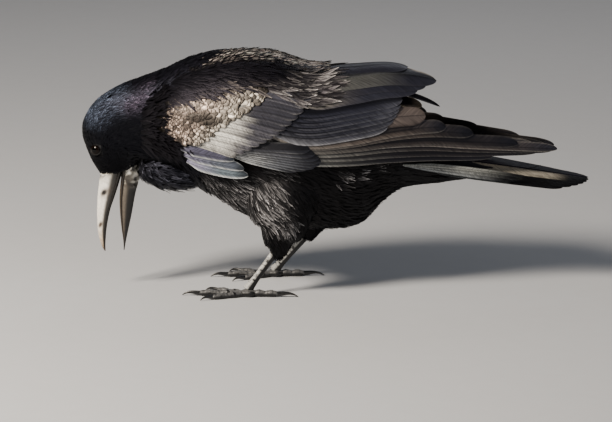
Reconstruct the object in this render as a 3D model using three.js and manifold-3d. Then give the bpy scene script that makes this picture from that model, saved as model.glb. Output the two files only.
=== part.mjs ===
// A rook (Corvus frugilegus) at life size, standing with its head down and its bill open.
//
// Millimetres. +X runs from the bill to the tail, -Y is the bird's left side and +Z is up.
// The bird is first laid out in its own design coordinates, with the floor at z = 0, and the
// group at the end moves it so that the origin is at the middle of its footprint.
import * as THREE from "three";
import Module from "manifold-3d";

const wasm = await Module();
wasm.setup();

const GAP = 0.3; // space kept between neighbouring pieces
const FINENESS = 0.12; // triangles that change a surface by less than this are merged away
const LEFT = -1; // the side of the bird, as the sign of y
const RIGHT = 1;
const ACROSS = new THREE.Vector3(0, 1, 0);

const plumage = { color: 0x17171c, roughness: 0.5, metalness: 0 };
const flightFeather = { color: 0x1b1c26, roughness: 0.4, metalness: 0 };
const horn = { color: 0xb9b3a6, roughness: 0.45, metalness: 0 };
const eyeball = { color: 0x120c09, roughness: 0.05, metalness: 0 };
const legScale = { color: 0x202022, roughness: 0.45, metalness: 0 };
const clawHorn = { color: 0x101012, roughness: 0.35, metalness: 0 };

// ---------------------------------------------------------------------------
// Curves

/** The Catmull-Rom curve through equally spaced numbers, at u = 0 … length - 1. */
function through(values, u) {
  const last = values.length - 1;
  const i = Math.max(0, Math.min(Math.floor(u), last - 1));
  const f = u - i;
  const before = i > 0 ? values[i - 1] : 2 * values[0] - values[1];
  const after = i + 2 <= last ? values[i + 2] : 2 * values[last] - values[last - 1];
  const [a, b] = [values[i], values[i + 1]];
  const bend = 2 * before - 5 * a + 4 * b - after + f * (3 * (a - b) + after - before);
  return a + 0.5 * f * (b - before + f * bend);
}

/** The same curve for rows of numbers, column by column. */
function rowAt(rows, u) {
  return rows[0].map((_, column) => through(rows.map((row) => row[column]), u));
}

const mix = (a, b, f) => a + (b - a) * f;
const radians = (degrees) => (degrees * Math.PI) / 180;
const steps = (count) => Array.from({ length: count + 1 }, (_, i) => i / count);

// ---------------------------------------------------------------------------
// Solids

/** A closed solid from its points and triangles, with its faces turned outwards. */
function solidOf(points, triangles) {
  const corner = (index) => new THREE.Vector3(...points[index]);
  let sixVolumes = 0;
  for (const [a, b, c] of triangles) sixVolumes += corner(a).dot(corner(b).cross(corner(c)));
  const facing = sixVolumes < 0 ? triangles.map(([a, b, c]) => [a, c, b]) : triangles;
  return new wasm.Manifold(
    new wasm.Mesh({
      numProp: 3,
      vertProperties: new Float32Array(points.flat()),
      triVerts: new Uint32Array(facing.flat()),
    }),
  );
}

/** A closed skin over a row of rings with equal counts of points, its two ends capped. */
function loft(rings) {
  const count = rings[0].length;
  const points = rings.flat();
  const triangles = [];
  for (let ring = 0; ring + 1 < rings.length; ring++) {
    for (let k = 0; k < count; k++) {
      const a = ring * count + k;
      const b = ring * count + ((k + 1) % count);
      triangles.push([a, b, b + count], [a, b + count, a + count]);
    }
  }
  const lastRing = (rings.length - 1) * count;
  for (const start of [0, lastRing]) {
    const ring = points.slice(start, start + count);
    const centre = [0, 1, 2].map((axis) => ring.reduce((sum, p) => sum + p[axis], 0) / count);
    const middle = points.push(centre) - 1;
    for (let k = 0; k < count; k++) {
      const [a, b] = [start + k, start + ((k + 1) % count)];
      triangles.push(start ? [middle, a, b] : [middle, b, a]);
    }
  }
  return solidOf(points, triangles);
}

/** A loft whose ring at f = 0 … 1 lies square to a path: place(f) gives its centre and radii. */
function tube(place, rings, sides, across = ACROSS) {
  const centre = (f) => new THREE.Vector3(...place(f).centre);
  const ringAt = (f) => {
    const { width, height } = place(f);
    const ahead = centre(Math.min(1, f + 0.01)).sub(centre(Math.max(0, f - 0.01))).normalize();
    const sideways = across.clone().addScaledVector(ahead, -across.dot(ahead)).normalize();
    const upward = ahead.clone().cross(sideways);
    return Array.from({ length: sides }, (_, k) => {
      const turn = ((k + 0.5) / sides) * 2 * Math.PI;
      return centre(f)
        .addScaledVector(sideways, width * Math.sin(turn))
        .addScaledVector(upward, height * Math.cos(turn))
        .toArray();
    });
  };
  return loft(steps(rings).map(ringAt));
}

/** A closed slab between two grids: outer(i, j) and inner(i, j) give their points. */
function slab(columns, rows, outer, inner) {
  const points = [];
  for (const face of [outer, inner])
    for (let i = 0; i < columns; i++) for (let j = 0; j < rows; j++) points.push(face(i, j));
  const at = (layer, i, j) => (layer * columns + i) * rows + j;
  const triangles = [];
  const quad = (a, b, c, d) => triangles.push([a, b, c], [a, c, d]);
  for (let i = 0; i + 1 < columns; i++) {
    for (let j = 0; j + 1 < rows; j++) {
      quad(at(0, i, j), at(0, i + 1, j), at(0, i + 1, j + 1), at(0, i, j + 1));
      quad(at(1, i, j), at(1, i, j + 1), at(1, i + 1, j + 1), at(1, i + 1, j));
    }
    quad(at(0, i, 0), at(1, i, 0), at(1, i + 1, 0), at(0, i + 1, 0));
    quad(at(0, i + 1, rows - 1), at(1, i + 1, rows - 1), at(1, i, rows - 1), at(0, i, rows - 1));
  }
  for (let j = 0; j + 1 < rows; j++) {
    quad(at(0, 0, j + 1), at(1, 0, j + 1), at(1, 0, j), at(0, 0, j));
    quad(at(0, columns - 1, j), at(1, columns - 1, j), at(1, columns - 1, j + 1), at(0, columns - 1, j + 1));
  }
  return solidOf(points, triangles);
}

/** The solid of a closed three.js geometry, moved to a centre. */
function ball(radius, centre, around, over) {
  const sphere = new THREE.SphereGeometry(radius, around, over);
  const place = sphere.attributes.position;
  const points = [[0, 0, radius]];
  for (let ring = 1; ring < over; ring++)
    for (let k = 0; k < around; k++) {
      const index = ring * (around + 1) + k;
      points.push([place.getX(index), place.getZ(index), place.getY(index)]);
    }
  points.push([0, 0, -radius]);
  const at = (ring, k) => 1 + (ring - 1) * around + (k % around);
  const triangles = [];
  for (let k = 0; k < around; k++) {
    triangles.push([0, at(1, k), at(1, k + 1)]);
    triangles.push([points.length - 1, at(over - 1, k + 1), at(over - 1, k)]);
    for (let ring = 1; ring + 1 < over; ring++) {
      triangles.push([at(ring, k), at(ring + 1, k), at(ring + 1, k + 1)]);
      triangles.push([at(ring, k), at(ring + 1, k + 1), at(ring, k + 1)]);
    }
  }
  return solidOf(points, triangles).translate(centre);
}

/** What is left of a solid outside its neighbours, as one piece: loose crumbs are dropped. */
function outside(solid, ...neighbours) {
  const left = neighbours.reduce((rest, neighbour) => rest.subtract(neighbour), solid);
  const pieces = left.simplify(FINENESS).decompose();
  return pieces.reduce((most, piece) => (piece.volume() > most.volume() ? piece : most));
}

/** The part of a solid on the far side of a plane through `point`, `clear` away from it. */
function beyond(solid, point, normal, clear) {
  const direction = new THREE.Vector3(...normal).normalize();
  return solid.trimByPlane(direction.toArray(), direction.dot(new THREE.Vector3(...point)) + clear);
}

const model = new THREE.Group();
model.name = "rook";

/** Adds a solid to the model as a named mesh. */
function add(name, solid, look) {
  const { numProp, vertProperties, triVerts } = solid.getMesh();
  const geometry = new THREE.BufferGeometry();
  const position = new THREE.BufferAttribute(new Float32Array(vertProperties), numProp);
  geometry.setAttribute("position", position);
  geometry.setIndex(new THREE.BufferAttribute(new Uint32Array(triVerts), 1));
  geometry.computeVertexNormals();
  const mesh = new THREE.Mesh(geometry, new THREE.MeshStandardMaterial(look));
  mesh.name = name;
  model.add(mesh);
}

// ---------------------------------------------------------------------------
// Head, neck and trunk: one loft, parted by thin cuts

// Stations from the bill's base over the crown and the back to the root of the tail. Each has a
// point on the upper outline (x, z), one on the lower outline (x, z) and the half width there.
const BODY = [
  [-179, 89, -149, 95, 9.5], // the bill's base
  [-185, 99, -146, 98, 12.5],
  [-189, 109, -143, 99.5, 15], // the eyes
  [-192, 120, -139.5, 99.5, 17], // the forehead
  [-190, 132, -132, 97.5, 18.5], // the crown
  [-181, 145, -122, 92.5, 20],
  [-166, 155, -112, 86.5, 23], // the nape
  [-148, 162, -104, 81, 29],
  [-129, 169, -94, 74, 34], // the root of the neck
  [-109, 178, -81, 65, 38],
  [-87, 183, -67, 57, 41], // the shoulders and the breast
  [-62, 183, -49, 51, 42],
  [-35, 177, -25, 47, 41],
  [-11, 168, -3, 47, 38], // the belly
  [12, 162, 18, 51, 36],
  [32, 152, 35, 68, 31],
  [50, 136, 50, 78, 25], // the rump and the vent
  [70, 117, 76, 82, 17],
  [100, 101, 102, 87, 11], // the root of the tail
  [120, 96, 121, 90, 9],
];
const HEAD_END = 5.6; // the cut behind the head, as a station number
const NECK_END = 8;
const BODY_RINGS = 27;
const BODY_SIDES = 16;

/** The outline points and half width of the body at station u. */
function bodyStation(u) {
  const [upperX, upperZ, lowerX, lowerZ, half] = rowAt(BODY, u);
  return { upperX, upperZ, lowerX, lowerZ, half };
}

/** The body's ring at station u: an ellipse on its upper and lower points, swollen by `grow`. */
function bodyRing(u, grow) {
  const { upperX, upperZ, lowerX, lowerZ, half } = bodyStation(u);
  const [middleX, middleZ] = [(upperX + lowerX) / 2, (upperZ + lowerZ) / 2];
  const reach = Math.hypot(upperX - lowerX, upperZ - lowerZ) / 2;
  const swell = 1 + grow / reach;
  return Array.from({ length: BODY_SIDES }, (_, k) => {
    const turn = (k / BODY_SIDES) * 2 * Math.PI;
    return [
      middleX + (upperX - middleX) * swell * Math.cos(turn),
      (half + grow) * Math.sin(turn),
      middleZ + (upperZ - middleZ) * swell * Math.cos(turn),
    ];
  });
}

// The throat bag, which hangs under the head and the front of the neck. Each station has its
// centre (x, z), half width and half height.
const THROAT = [
  [-147, 101, 8, 7],
  [-141, 97, 13, 13],
  [-133, 93, 16, 14],
  [-124, 91.5, 18, 14.5],
  [-114, 91.5, 19, 13.5],
  [-105, 93, 18, 11],
  [-96, 95, 14, 8],
];

function throat(grow) {
  const place = (f) => {
    const [x, z, width, height] = rowAt(THROAT, f * (THROAT.length - 1));
    return { centre: [x, 0, z], width: width + grow, height: height + grow };
  };
  return tube(place, 7, 10);
}

/** Head, neck and trunk as one solid. */
function body(grow) {
  const last = BODY.length - 1;
  const beyondEnds = grow * 0.1; // in stations, which lie about 10 mm or more apart
  const rings = steps(BODY_RINGS).map((f) => bodyRing(mix(-beyondEnds, last + beyondEnds, f), grow));
  return loft(rings).add(throat(grow));
}

/** The plane of station u: a point in it and its normal, which points on towards the tail. */
function bodyPlane(u) {
  const { upperX, upperZ, lowerX, lowerZ } = bodyStation(u);
  return { point: [upperX, 0, upperZ], normal: [upperZ - lowerZ, 0, lowerX - upperX] };
}

/** The body between two cuts, each half a gap short of its plane; null leaves an end uncut. */
function bodyLength(whole, from, to) {
  let piece = whole;
  if (from !== null) {
    const { point, normal } = bodyPlane(from);
    piece = beyond(piece, point, normal, GAP / 2);
  }
  if (to !== null) {
    const { point, normal } = bodyPlane(to);
    piece = beyond(piece, point, normal.map((part) => -part), GAP / 2);
  }
  return outside(piece);
}

const wholeBody = body(0);
const bodyRoom = body(GAP);

// ---------------------------------------------------------------------------
// Eyes

const EYE = { x: -180.5, y: 7.5, z: 108.3, radius: 5.5 };
const eyePlace = (side) => [EYE.x, side * EYE.y, EYE.z];
const eye = (side, grow) => ball(EYE.radius + grow, eyePlace(side), 12, 7);

// ---------------------------------------------------------------------------
// Bill: two mandibles, each half round outside and flat on its biting side

// Stations from inside the head to the tip. Each has a point on the outer ridge (x, z), one on
// the biting edge (x, z) and the half width there.
const UPPER_BILL = [
  [-178.5, 97, -161, 105, 10],
  [-178.8, 88.6, -161.9, 96.6, 9.6],
  [-180.2, 78, -166, 84, 7.6], // the nostrils
  [-181.3, 66, -169.2, 72, 6],
  [-181.5, 54, -172.4, 60, 4.8],
  [-180.8, 42, -174.4, 46, 3.4],
  [-178.4, 32.5, -175.4, 34.5, 1.8],
  [-176, 28, -175.4, 28.4, 0.6], // the tip
];
const LOWER_BILL = [
  [-145.5, 103, -160.5, 107, 9.4],
  [-147.4, 94.4, -161, 97.4, 9],
  [-150.2, 82, -163, 84.4, 7.2],
  [-153, 69, -164.2, 71, 5.6],
  [-155.2, 57, -164, 58, 4.4],
  [-157.6, 46, -163, 46, 3.2],
  [-159.6, 36.6, -161.8, 36.4, 1.8],
  [-161, 28.8, -161.6, 28.8, 0.6],
];
const BILL_RINGS = 11;
const BILL_SIDES = 9;

/** A mandible: each ring is half an ellipse from the biting edge out to the ridge. */
function mandible(stations) {
  return loft(
    steps(BILL_RINGS).map((f) => {
      const [ridgeX, ridgeZ, edgeX, edgeZ, half] = rowAt(stations, f * (stations.length - 1));
      return steps(BILL_SIDES).map((across) => {
        const turn = across * Math.PI;
        const out = Math.sin(turn);
        return [mix(edgeX, ridgeX, out), half * Math.cos(turn), mix(edgeZ, ridgeZ, out)];
      });
    }),
  );
}

// ---------------------------------------------------------------------------
// Folded wings: shells over one outer shape

// The outer shape of both wings together, in upright ellipses every WING_STEP from WING_START.
const WING_START = -140;
const WING_STEP = 30;
const WING_TOP = [158, 172, 180, 180, 172, 172.5, 172.5, 165, 150, 136, 124.5, 116];
const WING_BOTTOM = [88, 75, 68, 62, 62, 66, 72, 78, 84, 90, 95, 98];
const WING_HALF = [33, 43, 49, 52, 52, 48.5, 42, 34, 26, 19, 13.5, 10];

/** The point `angle` degrees down from the ridge of the back, `lift` outside the wings' shape. */
function wingPoint(x, angle, lift, side) {
  const u = (x - WING_START) / WING_STEP;
  const [top, bottom] = [through(WING_TOP, u), through(WING_BOTTOM, u)];
  const half = through(WING_HALF, u);
  const height = (top - bottom) / 2;
  const [sine, cosine] = [Math.sin(radians(angle)), Math.cos(radians(angle))];
  const slope = Math.hypot(sine / half, cosine / height);
  const outY = half * sine + (lift * sine) / half / slope;
  const outZ = (top + bottom) / 2 + height * cosine + (lift * cosine) / height / slope;
  return [x, side * outY, outZ];
}

// Each feather group has a lower and an upper edge, from front to back, as [x, angle] points.
// `lift` is how far it stands outside the wings' shape, `depth` its thickness at the front and
// at the back, `feathers` how many overlap across it, and `rows` how many along it.
const WING_GROUPS = {
  coverts: {
    lower: [[-131.5, 98], [-117, 101], [-74.5, 102.5], [-63, 94.6], [-42.6, 81], [-25, 62], [-18.5, 52]],
    upper: [[-136, 45], [-130, 34], [-103, 25], [-78, 23], [-50, 26], [-27, 34], [-18, 46]],
    lift: 2.5, depth: [12, 8], feathers: 1, rows: 3, columns: 9, lines: 7, step: 0.9, round: 0,
  },
  alula: {
    lower: [[-117, 100], [-100, 111], [-84, 123], [-67.2, 114.5]],
    upper: [[-117, 97], [-96, 98], [-80, 99.5], [-70, 102]],
    lift: 1.6, depth: [6, 3], feathers: 3, rows: 1, columns: 5, lines: 2, step: 0.6, round: 4,
  },
  tertials: {
    lower: [[-27, 64], [10.6, 58], [38, 52], [57, 46], [64, 35]],
    upper: [[-17, 9], [12.8, 1.2], [42, 1.2], [66, 9], [71, 20]],
    lift: 1.5, depth: [12, 2.5], feathers: 4, rows: 1, columns: 6, lines: 2, step: 0.7, round: 0,
  },
  secondaries: {
    lower: [[-52, 85], [-22.8, 86], [18, 87.6], [38, 85.6], [48, 79]],
    upper: [[-30, 56], [0, 54], [25, 50], [42, 50], [50, 58]],
    lift: 0, depth: [12, 3], feathers: 5, rows: 1, columns: 5, lines: 2, step: 0.7, round: 0,
  },
  primaries: {
    lower: [[-73, 104], [-56, 113], [-20, 111], [20, 110], [60, 116], [100, 116], [135, 110], [160, 103], [167, 92]],
    upper: [[-66, 90], [-45, 80], [-10, 80], [25, 78], [55, 74], [88, 77], [120, 80], [148, 85], [167, 90]],
    lift: -1.5, depth: [10, 2], feathers: 5, rows: 1, columns: 8, lines: 2, step: 0.5, round: 0,
  },
};

// One long secondary of the right wing stands out behind the others.
const RIGHT_SECONDARIES = {
  ...WING_GROUPS.secondaries,
  lower: [[-52, 85], [-22.8, 86], [15, 87.6], [38, 85.6], [55, 78], [76, 72.5]],
  upper: [[-30, 56], [-5, 55], [22, 50], [46, 53], [64, 62], [77, 70]],
};

/** Where the grid lines across a group lie: `lines` to each feather, close to both its edges. */
function acrossFeathers(feathers, lines) {
  const edge = feathers > 1 ? 0.04 : 0;
  const places = [];
  for (let feather = 0; feather < feathers; feather++)
    for (let line = 0; line < lines; line++) {
      const inside = mix(edge, 1 - edge, line / (lines - 1));
      places.push({ t: (feather + inside) / feathers, inside });
    }
  return places;
}

/** One feather group of one wing; `grow` swells it to the room that it needs. */
function wingGroup({ lower, upper, lift, depth, feathers, rows, columns, lines, step, round }, side, grow) {
  const across = acrossFeathers(feathers, lines);
  const along = steps(columns);
  const place = (i, j) => {
    const { t, inside } = across[j];
    const [lowerX, lowerAngle] = rowAt(lower, along[i] * (lower.length - 1));
    const [upperX, upperAngle] = rowAt(upper, along[i] * (upper.length - 1));
    const tip = feathers > 1 ? round * along[i] ** 4 * (1 - (2 * inside - 1) ** 2) : 0;
    const end = along[i] === 0 ? -1 : along[i] === 1 ? 1 : 0;
    const edge = j === 0 ? 1 : j === across.length - 1 ? -1 : 0;
    const x = mix(lowerX, upperX, t);
    const turn = (edge * grow) / radians(1) / through(WING_HALF, (x - WING_START) / WING_STEP);
    return { x: x + tip + end * grow, angle: mix(lowerAngle, upperAngle, t) + turn, inside };
  };
  const outer = (i, j) => {
    const { x, angle, inside } = place(i, j);
    const row = Math.min(rows - 1, Math.floor(along[i] * rows + 0.01));
    const shingle = feathers > 1 ? step * (1 - inside) : step * (rows - 1 - row);
    return wingPoint(x, angle, lift + shingle + grow, side);
  };
  const inner = (i, j) => {
    const { x, angle } = place(i, j);
    return wingPoint(x, angle, lift - mix(...depth, along[i]) - grow, side);
  };
  return slab(along.length, across.length, outer, inner);
}

// ---------------------------------------------------------------------------
// Tail: twelve feathers, the middle pair on top

const TAIL = { rootX: 52, endX: 191.5, rootZ: 105, bendX: 100, bendZ: 97.5, endZ: 84 };
const TAIL_HALF = [11, 13, 17, 21.5, 25, 26];
const TAIL_PAIRS = 6;
const TAIL_STEP = 0.45; // each feather lies this much below the one inside it
const TAIL_ROUND = 15; // the outer feathers end this much before the middle ones
const TAIL_THICK = { root: 6, end: 1.6 };

/** The tail's middle line: it drops to a bend, then runs straight to its end. */
function tailHeight(x) {
  const { rootX, endX, rootZ, bendX, bendZ, endZ } = TAIL;
  return x < bendX
    ? mix(rootZ, bendZ, (x - rootX) / (bendX - rootX))
    : mix(bendZ, endZ, (x - bendX) / (endX - bendX));
}

function tail(grow) {
  const across = [];
  for (let pair = -TAIL_PAIRS; pair < TAIL_PAIRS; pair++)
    for (const inside of [0.04, 0.96]) across.push((pair + inside) / TAIL_PAIRS);
  const along = steps(4);
  const face = (above) => (i, j) => {
    const t = across[j];
    const end = TAIL.endX - TAIL_ROUND * t * t;
    const x = mix(TAIL.rootX, end, along[i]) + (i === along.length - 1 ? grow : 0);
    const edge = j === 0 ? -grow : j === across.length - 1 ? grow : 0;
    const y = t * through(TAIL_HALF, along[i] * (TAIL_HALF.length - 1)) + edge;
    const feather = Math.floor(Math.abs(t) * TAIL_PAIRS);
    const thick = mix(TAIL_THICK.root, TAIL_THICK.end, along[i]);
    const z = tailHeight(x) - feather * TAIL_STEP + (above ? thick / 2 + grow : -thick / 2 - grow);
    return [x, y, z];
  };
  return slab(along.length, across.length, face(true), face(false));
}

// ---------------------------------------------------------------------------
// Legs

// The feathered thigh and shank, from the flank down to the heel: centre (x, z), how far it lies
// to the side, and its radii along and across the body.
const LEGS = {
  left: {
    side: LEFT,
    thigh: [
      [-35, 97, 17, 28, 20],
      [-38, 83, 21, 31, 21],
      [-41, 66, 25, 26, 18],
      [-41, 53, 26, 19, 14],
      [-43, 44, 25, 12.5, 10],
      [-43.5, 36, 24, 8, 7],
      [-44.5, 29.5, 23.5, 4.6, 4.4],
    ],
    heel: [-37, 44, 21],
    foot: [-67, 5, 32],
    heading: 4,
  },
  right: {
    side: RIGHT,
    thigh: [
      [-11, 96, 17, 28, 20],
      [-13, 82, 21, 30, 21],
      [-14, 64, 24, 23, 18],
      [-16, 52, 24.5, 15, 13],
      [-19, 43, 24, 9.5, 9],
      [-21.5, 34, 24.5, 5, 5],
    ],
    heel: [-17, 42, 21],
    foot: [-47, 5, 36],
    heading: -3,
  },
};

function thigh({ side, thigh: stations }, grow) {
  const place = (f) => {
    const [x, z, out, along, across] = rowAt(stations, f * (stations.length - 1));
    return { centre: [x, side * out, z], width: across + grow, height: along + grow };
  };
  return tube(place, 7, 12);
}

// The bare tarsus: radii across and along the bird, from the heel to the toes.
const TARSUS_RADII = [[3.4, 4.4], [2.6, 3.4], [2.4, 3.2], [2.4, 3.1], [2.5, 3.1], [3.2, 3.8]];
const FOOT_PAD = { radius: 5, height: 4.2 };

function tarsus({ side, heel, foot }, grow) {
  const place = (f) => {
    const [x, z, out] = heel.map((from, i) => mix(from, foot[i], f));
    const [width, height] = rowAt(TARSUS_RADII, f * (TARSUS_RADII.length - 1));
    return { centre: [x, side * out, z], width: width + grow, height: height + grow };
  };
  const [footX, , footOut] = foot;
  const pad = ball(FOOT_PAD.radius + grow, [footX, side * footOut, FOOT_PAD.height], 10, 6);
  const shank = tube(place, 6, 8).add(pad);
  return grow ? shank : shank.trimByPlane([0, 0, 1], 0);
}

// Toes: the heading away from straight ahead, towards the outer side, and the lengths of the
// fleshy toe and of its claw. Each toe has a flat sole on the floor.
const TOES = {
  middle: { turn: 0, length: 36, claw: 13, radius: 2.5 },
  inner: { turn: -27, length: 26, claw: 11, radius: 2.3 },
  outer: { turn: 27, length: 28, claw: 10, radius: 2.3 },
  hind: { turn: 180, length: 22, claw: 16, radius: 2.7 },
};
const TOE_SIDES = 8;
const SOLE_CUT = 0.2; // what the floor's level takes off each toe, which leaves one flat sole
const TOE_PADS = [1.15, 0.92, 1.08, 0.88, 1.04, 0.84]; // the swellings under the joints

/** The line of a toe on the floor: at(distance) gives x and y. */
function toeLine({ side, foot, heading }, { turn }) {
  const angle = radians(turn + heading * side);
  const ahead = [-Math.cos(angle), side * Math.sin(angle)];
  const [footX, , footOut] = foot;
  return {
    at: (distance) => [footX + ahead[0] * distance, side * footOut + ahead[1] * distance],
    across: new THREE.Vector3(-ahead[1], ahead[0], 0),
  };
}

function toe(leg, digit, grow) {
  const { at, across } = toeLine(leg, digit);
  const flat = Math.cos(Math.PI / TOE_SIDES); // the section's flats are this part of its radius away
  const place = (f) => {
    const radius = digit.radius * through(TOE_PADS, f * (TOE_PADS.length - 1));
    const centre = [...at(f * (digit.length + grow)), radius * flat - SOLE_CUT];
    return { centre, width: radius + grow, height: radius + grow };
  };
  const whole = tube(place, 4, TOE_SIDES, across);
  return grow ? whole : whole.trimByPlane([0, 0, 1], 0);
}

function claw(leg, digit) {
  const { at, across } = toeLine(leg, digit);
  const start = digit.radius * TOE_PADS.at(-1);
  const tipRadius = 0.35;
  const arch = 1.6;
  const place = (f) => {
    const radius = mix(start * 0.86, tipRadius, f ** 1.3);
    const height = start + arch * 4 * f * f * (1 - f) - (start - tipRadius - 0.05) * f ** 3;
    return {
      centre: [...at(digit.length + GAP + f * digit.claw), height],
      width: radius * 0.75,
      height: radius,
    };
  };
  return tube(place, 4, 6, across);
}

// ---------------------------------------------------------------------------
// The parts

const SIDES = [["left", LEFT], ["right", RIGHT]];

const headEnd = bodyLength(wholeBody, null, HEAD_END);
const sockets = SIDES.map(([, side]) => eye(side, GAP));
add("head", outside(headEnd, ...sockets), plumage);
add("neck", bodyLength(wholeBody, HEAD_END, NECK_END), plumage);
const trunkPiece = bodyLength(wholeBody, NECK_END, null);
const tailRoom = tail(GAP);
add("trunk", outside(trunkPiece, tailRoom), plumage);
add("tail", outside(tail(0)), flightFeather);
add("bill_upper", outside(mandible(UPPER_BILL), bodyRoom), horn);
add("bill_lower", outside(mandible(LOWER_BILL), bodyRoom), horn);

for (const [name, side] of SIDES) {
  add(`eye_${name}`, eye(side, 0), eyeball);

  const taken = [bodyRoom, tailRoom];
  for (const group of ["coverts", "alula", "tertials", "secondaries", "primaries"]) {
    const shape = group === "secondaries" && side === RIGHT ? RIGHT_SECONDARIES : WING_GROUPS[group];
    add(`wing_${name}_${group}`, outside(wingGroup(shape, side, 0), ...taken), flightFeather);
    taken.push(wingGroup(shape, side, GAP));
  }

  const leg = LEGS[name];
  add(`thigh_${name}`, outside(thigh(leg, 0), ...taken), plumage);
  add(`tarsus_${name}`, outside(tarsus(leg, 0), thigh(leg, GAP), bodyRoom), legScale);

  const toesTaken = [tarsus(leg, GAP)];
  for (const [digit, shape] of Object.entries(TOES)) {
    add(`toe_${name}_${digit}`, outside(toe(leg, shape, 0), ...toesTaken), legScale);
    add(`claw_${name}_${digit}`, claw(leg, shape), clawHorn);
    toesTaken.push(toe(leg, shape, GAP));
  }
}

// The origin is at the middle of the box, at floor level.
model.updateMatrixWorld(true);
const box = new THREE.Box3().setFromObject(model, true);
const middle = box.getCenter(new THREE.Vector3());
model.position.set(-middle.x, -middle.y, -box.min.z);

export default model;
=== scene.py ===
from functools import partial
import bpy
import numpy as np
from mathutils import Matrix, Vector


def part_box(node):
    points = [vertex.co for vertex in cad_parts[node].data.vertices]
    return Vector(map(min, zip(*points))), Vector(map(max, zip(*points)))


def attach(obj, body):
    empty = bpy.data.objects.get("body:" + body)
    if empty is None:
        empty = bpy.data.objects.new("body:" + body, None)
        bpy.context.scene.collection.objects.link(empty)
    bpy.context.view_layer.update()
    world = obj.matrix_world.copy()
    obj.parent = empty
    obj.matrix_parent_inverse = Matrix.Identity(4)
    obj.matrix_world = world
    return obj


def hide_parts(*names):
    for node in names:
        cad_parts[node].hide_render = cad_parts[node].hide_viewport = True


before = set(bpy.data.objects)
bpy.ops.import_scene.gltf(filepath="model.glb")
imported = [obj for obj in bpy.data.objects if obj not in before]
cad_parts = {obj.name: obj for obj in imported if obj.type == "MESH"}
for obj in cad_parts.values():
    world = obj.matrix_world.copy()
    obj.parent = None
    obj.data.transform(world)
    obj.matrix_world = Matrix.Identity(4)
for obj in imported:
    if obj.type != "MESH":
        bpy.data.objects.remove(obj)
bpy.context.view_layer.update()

# A rook at life size, head down and bill open, as a still museum model.
#
# Shapes are laid out in millimetres in the bird's own drawing: +X runs from bill to tail, -Y is
# its left side and the floor is at z = 0. `placed` turns a drawing point into the frame's metres.
MM = 0.001
LEFT = -1
RIGHT = 1
SIDES = {"left": LEFT, "right": RIGHT}
ALL_ROUND = (-np.pi, np.pi)
EYE_CENTRE = np.array([-180.5, 7.5, 108.3])
EYE_RADIUS = 5.1
STEP = 0.001  # the small change of a parameter that a slope is measured over

eye_corners = np.array([list(corner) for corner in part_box("eye_left")])
SHIFT = eye_corners.mean(axis=0) / MM - EYE_CENTRE * [1, LEFT, 1]


def placed(points):
    """Drawing millimetres to metres in the frame: the drawing is only shifted."""
    return (np.asarray(points) + SHIFT) * MM


# ---- Curves and surfaces: each surface gives a point for each pair of parameters


def through(values, u):
    """Catmull-Rom curve through rows at u = 0, 1, 2 and so on, with straight runs past both ends."""
    rows = np.asarray(values, float).reshape(len(values), -1)
    padded = np.vstack([2 * rows[0] - rows[1], rows, 2 * rows[-1] - rows[-2]])
    u = np.asarray(u, float)
    i = np.clip(np.floor(u).astype(int), 0, len(rows) - 2)
    f = (u - i)[..., None]
    before, a, b, after = (padded[i + k] for k in range(4))
    bend = 2 * before - 5 * a + 4 * b - after + f * (3 * (a - b) + after - before)
    found = a + 0.5 * f * (b - before + f * bend)
    return found[..., 0] if np.ndim(values) == 1 else found


def strand(stops, u):
    """A number that changes evenly along u between (u, value) stops."""
    places, values = zip(*stops)
    return np.interp(u, places, values)


def mix(a, b, f):
    """The value a share f of the way from a to b."""
    return a + (b - a) * f


def linear(colour):
    """An sRGB hex colour as linear red, green and blue; colours that are linear stay so."""
    if not isinstance(colour, str):
        return colour
    parts = np.array([int(colour[i : i + 2], 16) / 255 for i in (1, 3, 5)])
    return np.where(parts <= 0.04045, parts / 12.92, ((parts + 0.055) / 1.055) ** 2.4)


def blend(first, second, share):
    """The colour a share of the way from one colour to another, for an array of shares."""
    return mix(linear(first), linear(second), share[..., None])


def unit(vectors):
    """Vectors of length one."""
    return vectors / np.linalg.norm(vectors, axis=-1, keepdims=True)


def dot(a, b):
    """The dot products of two arrays of vectors."""
    return (a * b).sum(axis=-1)


def smooth(low, high, value):
    """0 below low, 1 above high, and the cubic 3t^2 - 2t^3 between."""
    t = np.clip((value - low) / (high - low), 0, 1)
    return t * t * (3 - 2 * t)


def chance(p, q):
    """A number from 0 to 1 for each root that looks random: the fraction of a large sine."""
    return np.mod(np.sin(12.9898 * p + 78.233 * q) * 43758.5453, 1)


# Stations of head, neck and trunk: upper outline (x, z), lower outline (x, z), half width.
BODY = [
    [-179, 89, -149, 95, 9.5],
    [-185, 99, -146, 98, 12.5],
    [-189, 109, -143, 99.5, 15],
    [-192, 120, -139.5, 99.5, 17],
    [-190, 132, -132, 97.5, 18.5],
    [-181, 145, -122, 92.5, 20],
    [-166, 155, -112, 86.5, 23],
    [-148, 162, -104, 81, 29],
    [-129, 169, -94, 74, 34],
    [-109, 178, -81, 65, 38],
    [-87, 183, -67, 57, 41],
    [-62, 183, -49, 51, 42],
    [-35, 177, -25, 47, 41],
    [-11, 168, -3, 47, 38],
    [12, 162, 18, 51, 36],
    [32, 152, 35, 68, 31],
    [50, 136, 50, 78, 25],
    [70, 117, 76, 82, 17],
    [100, 101, 102, 87, 11],
    [120, 96, 121, 90, 9],
]
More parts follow.
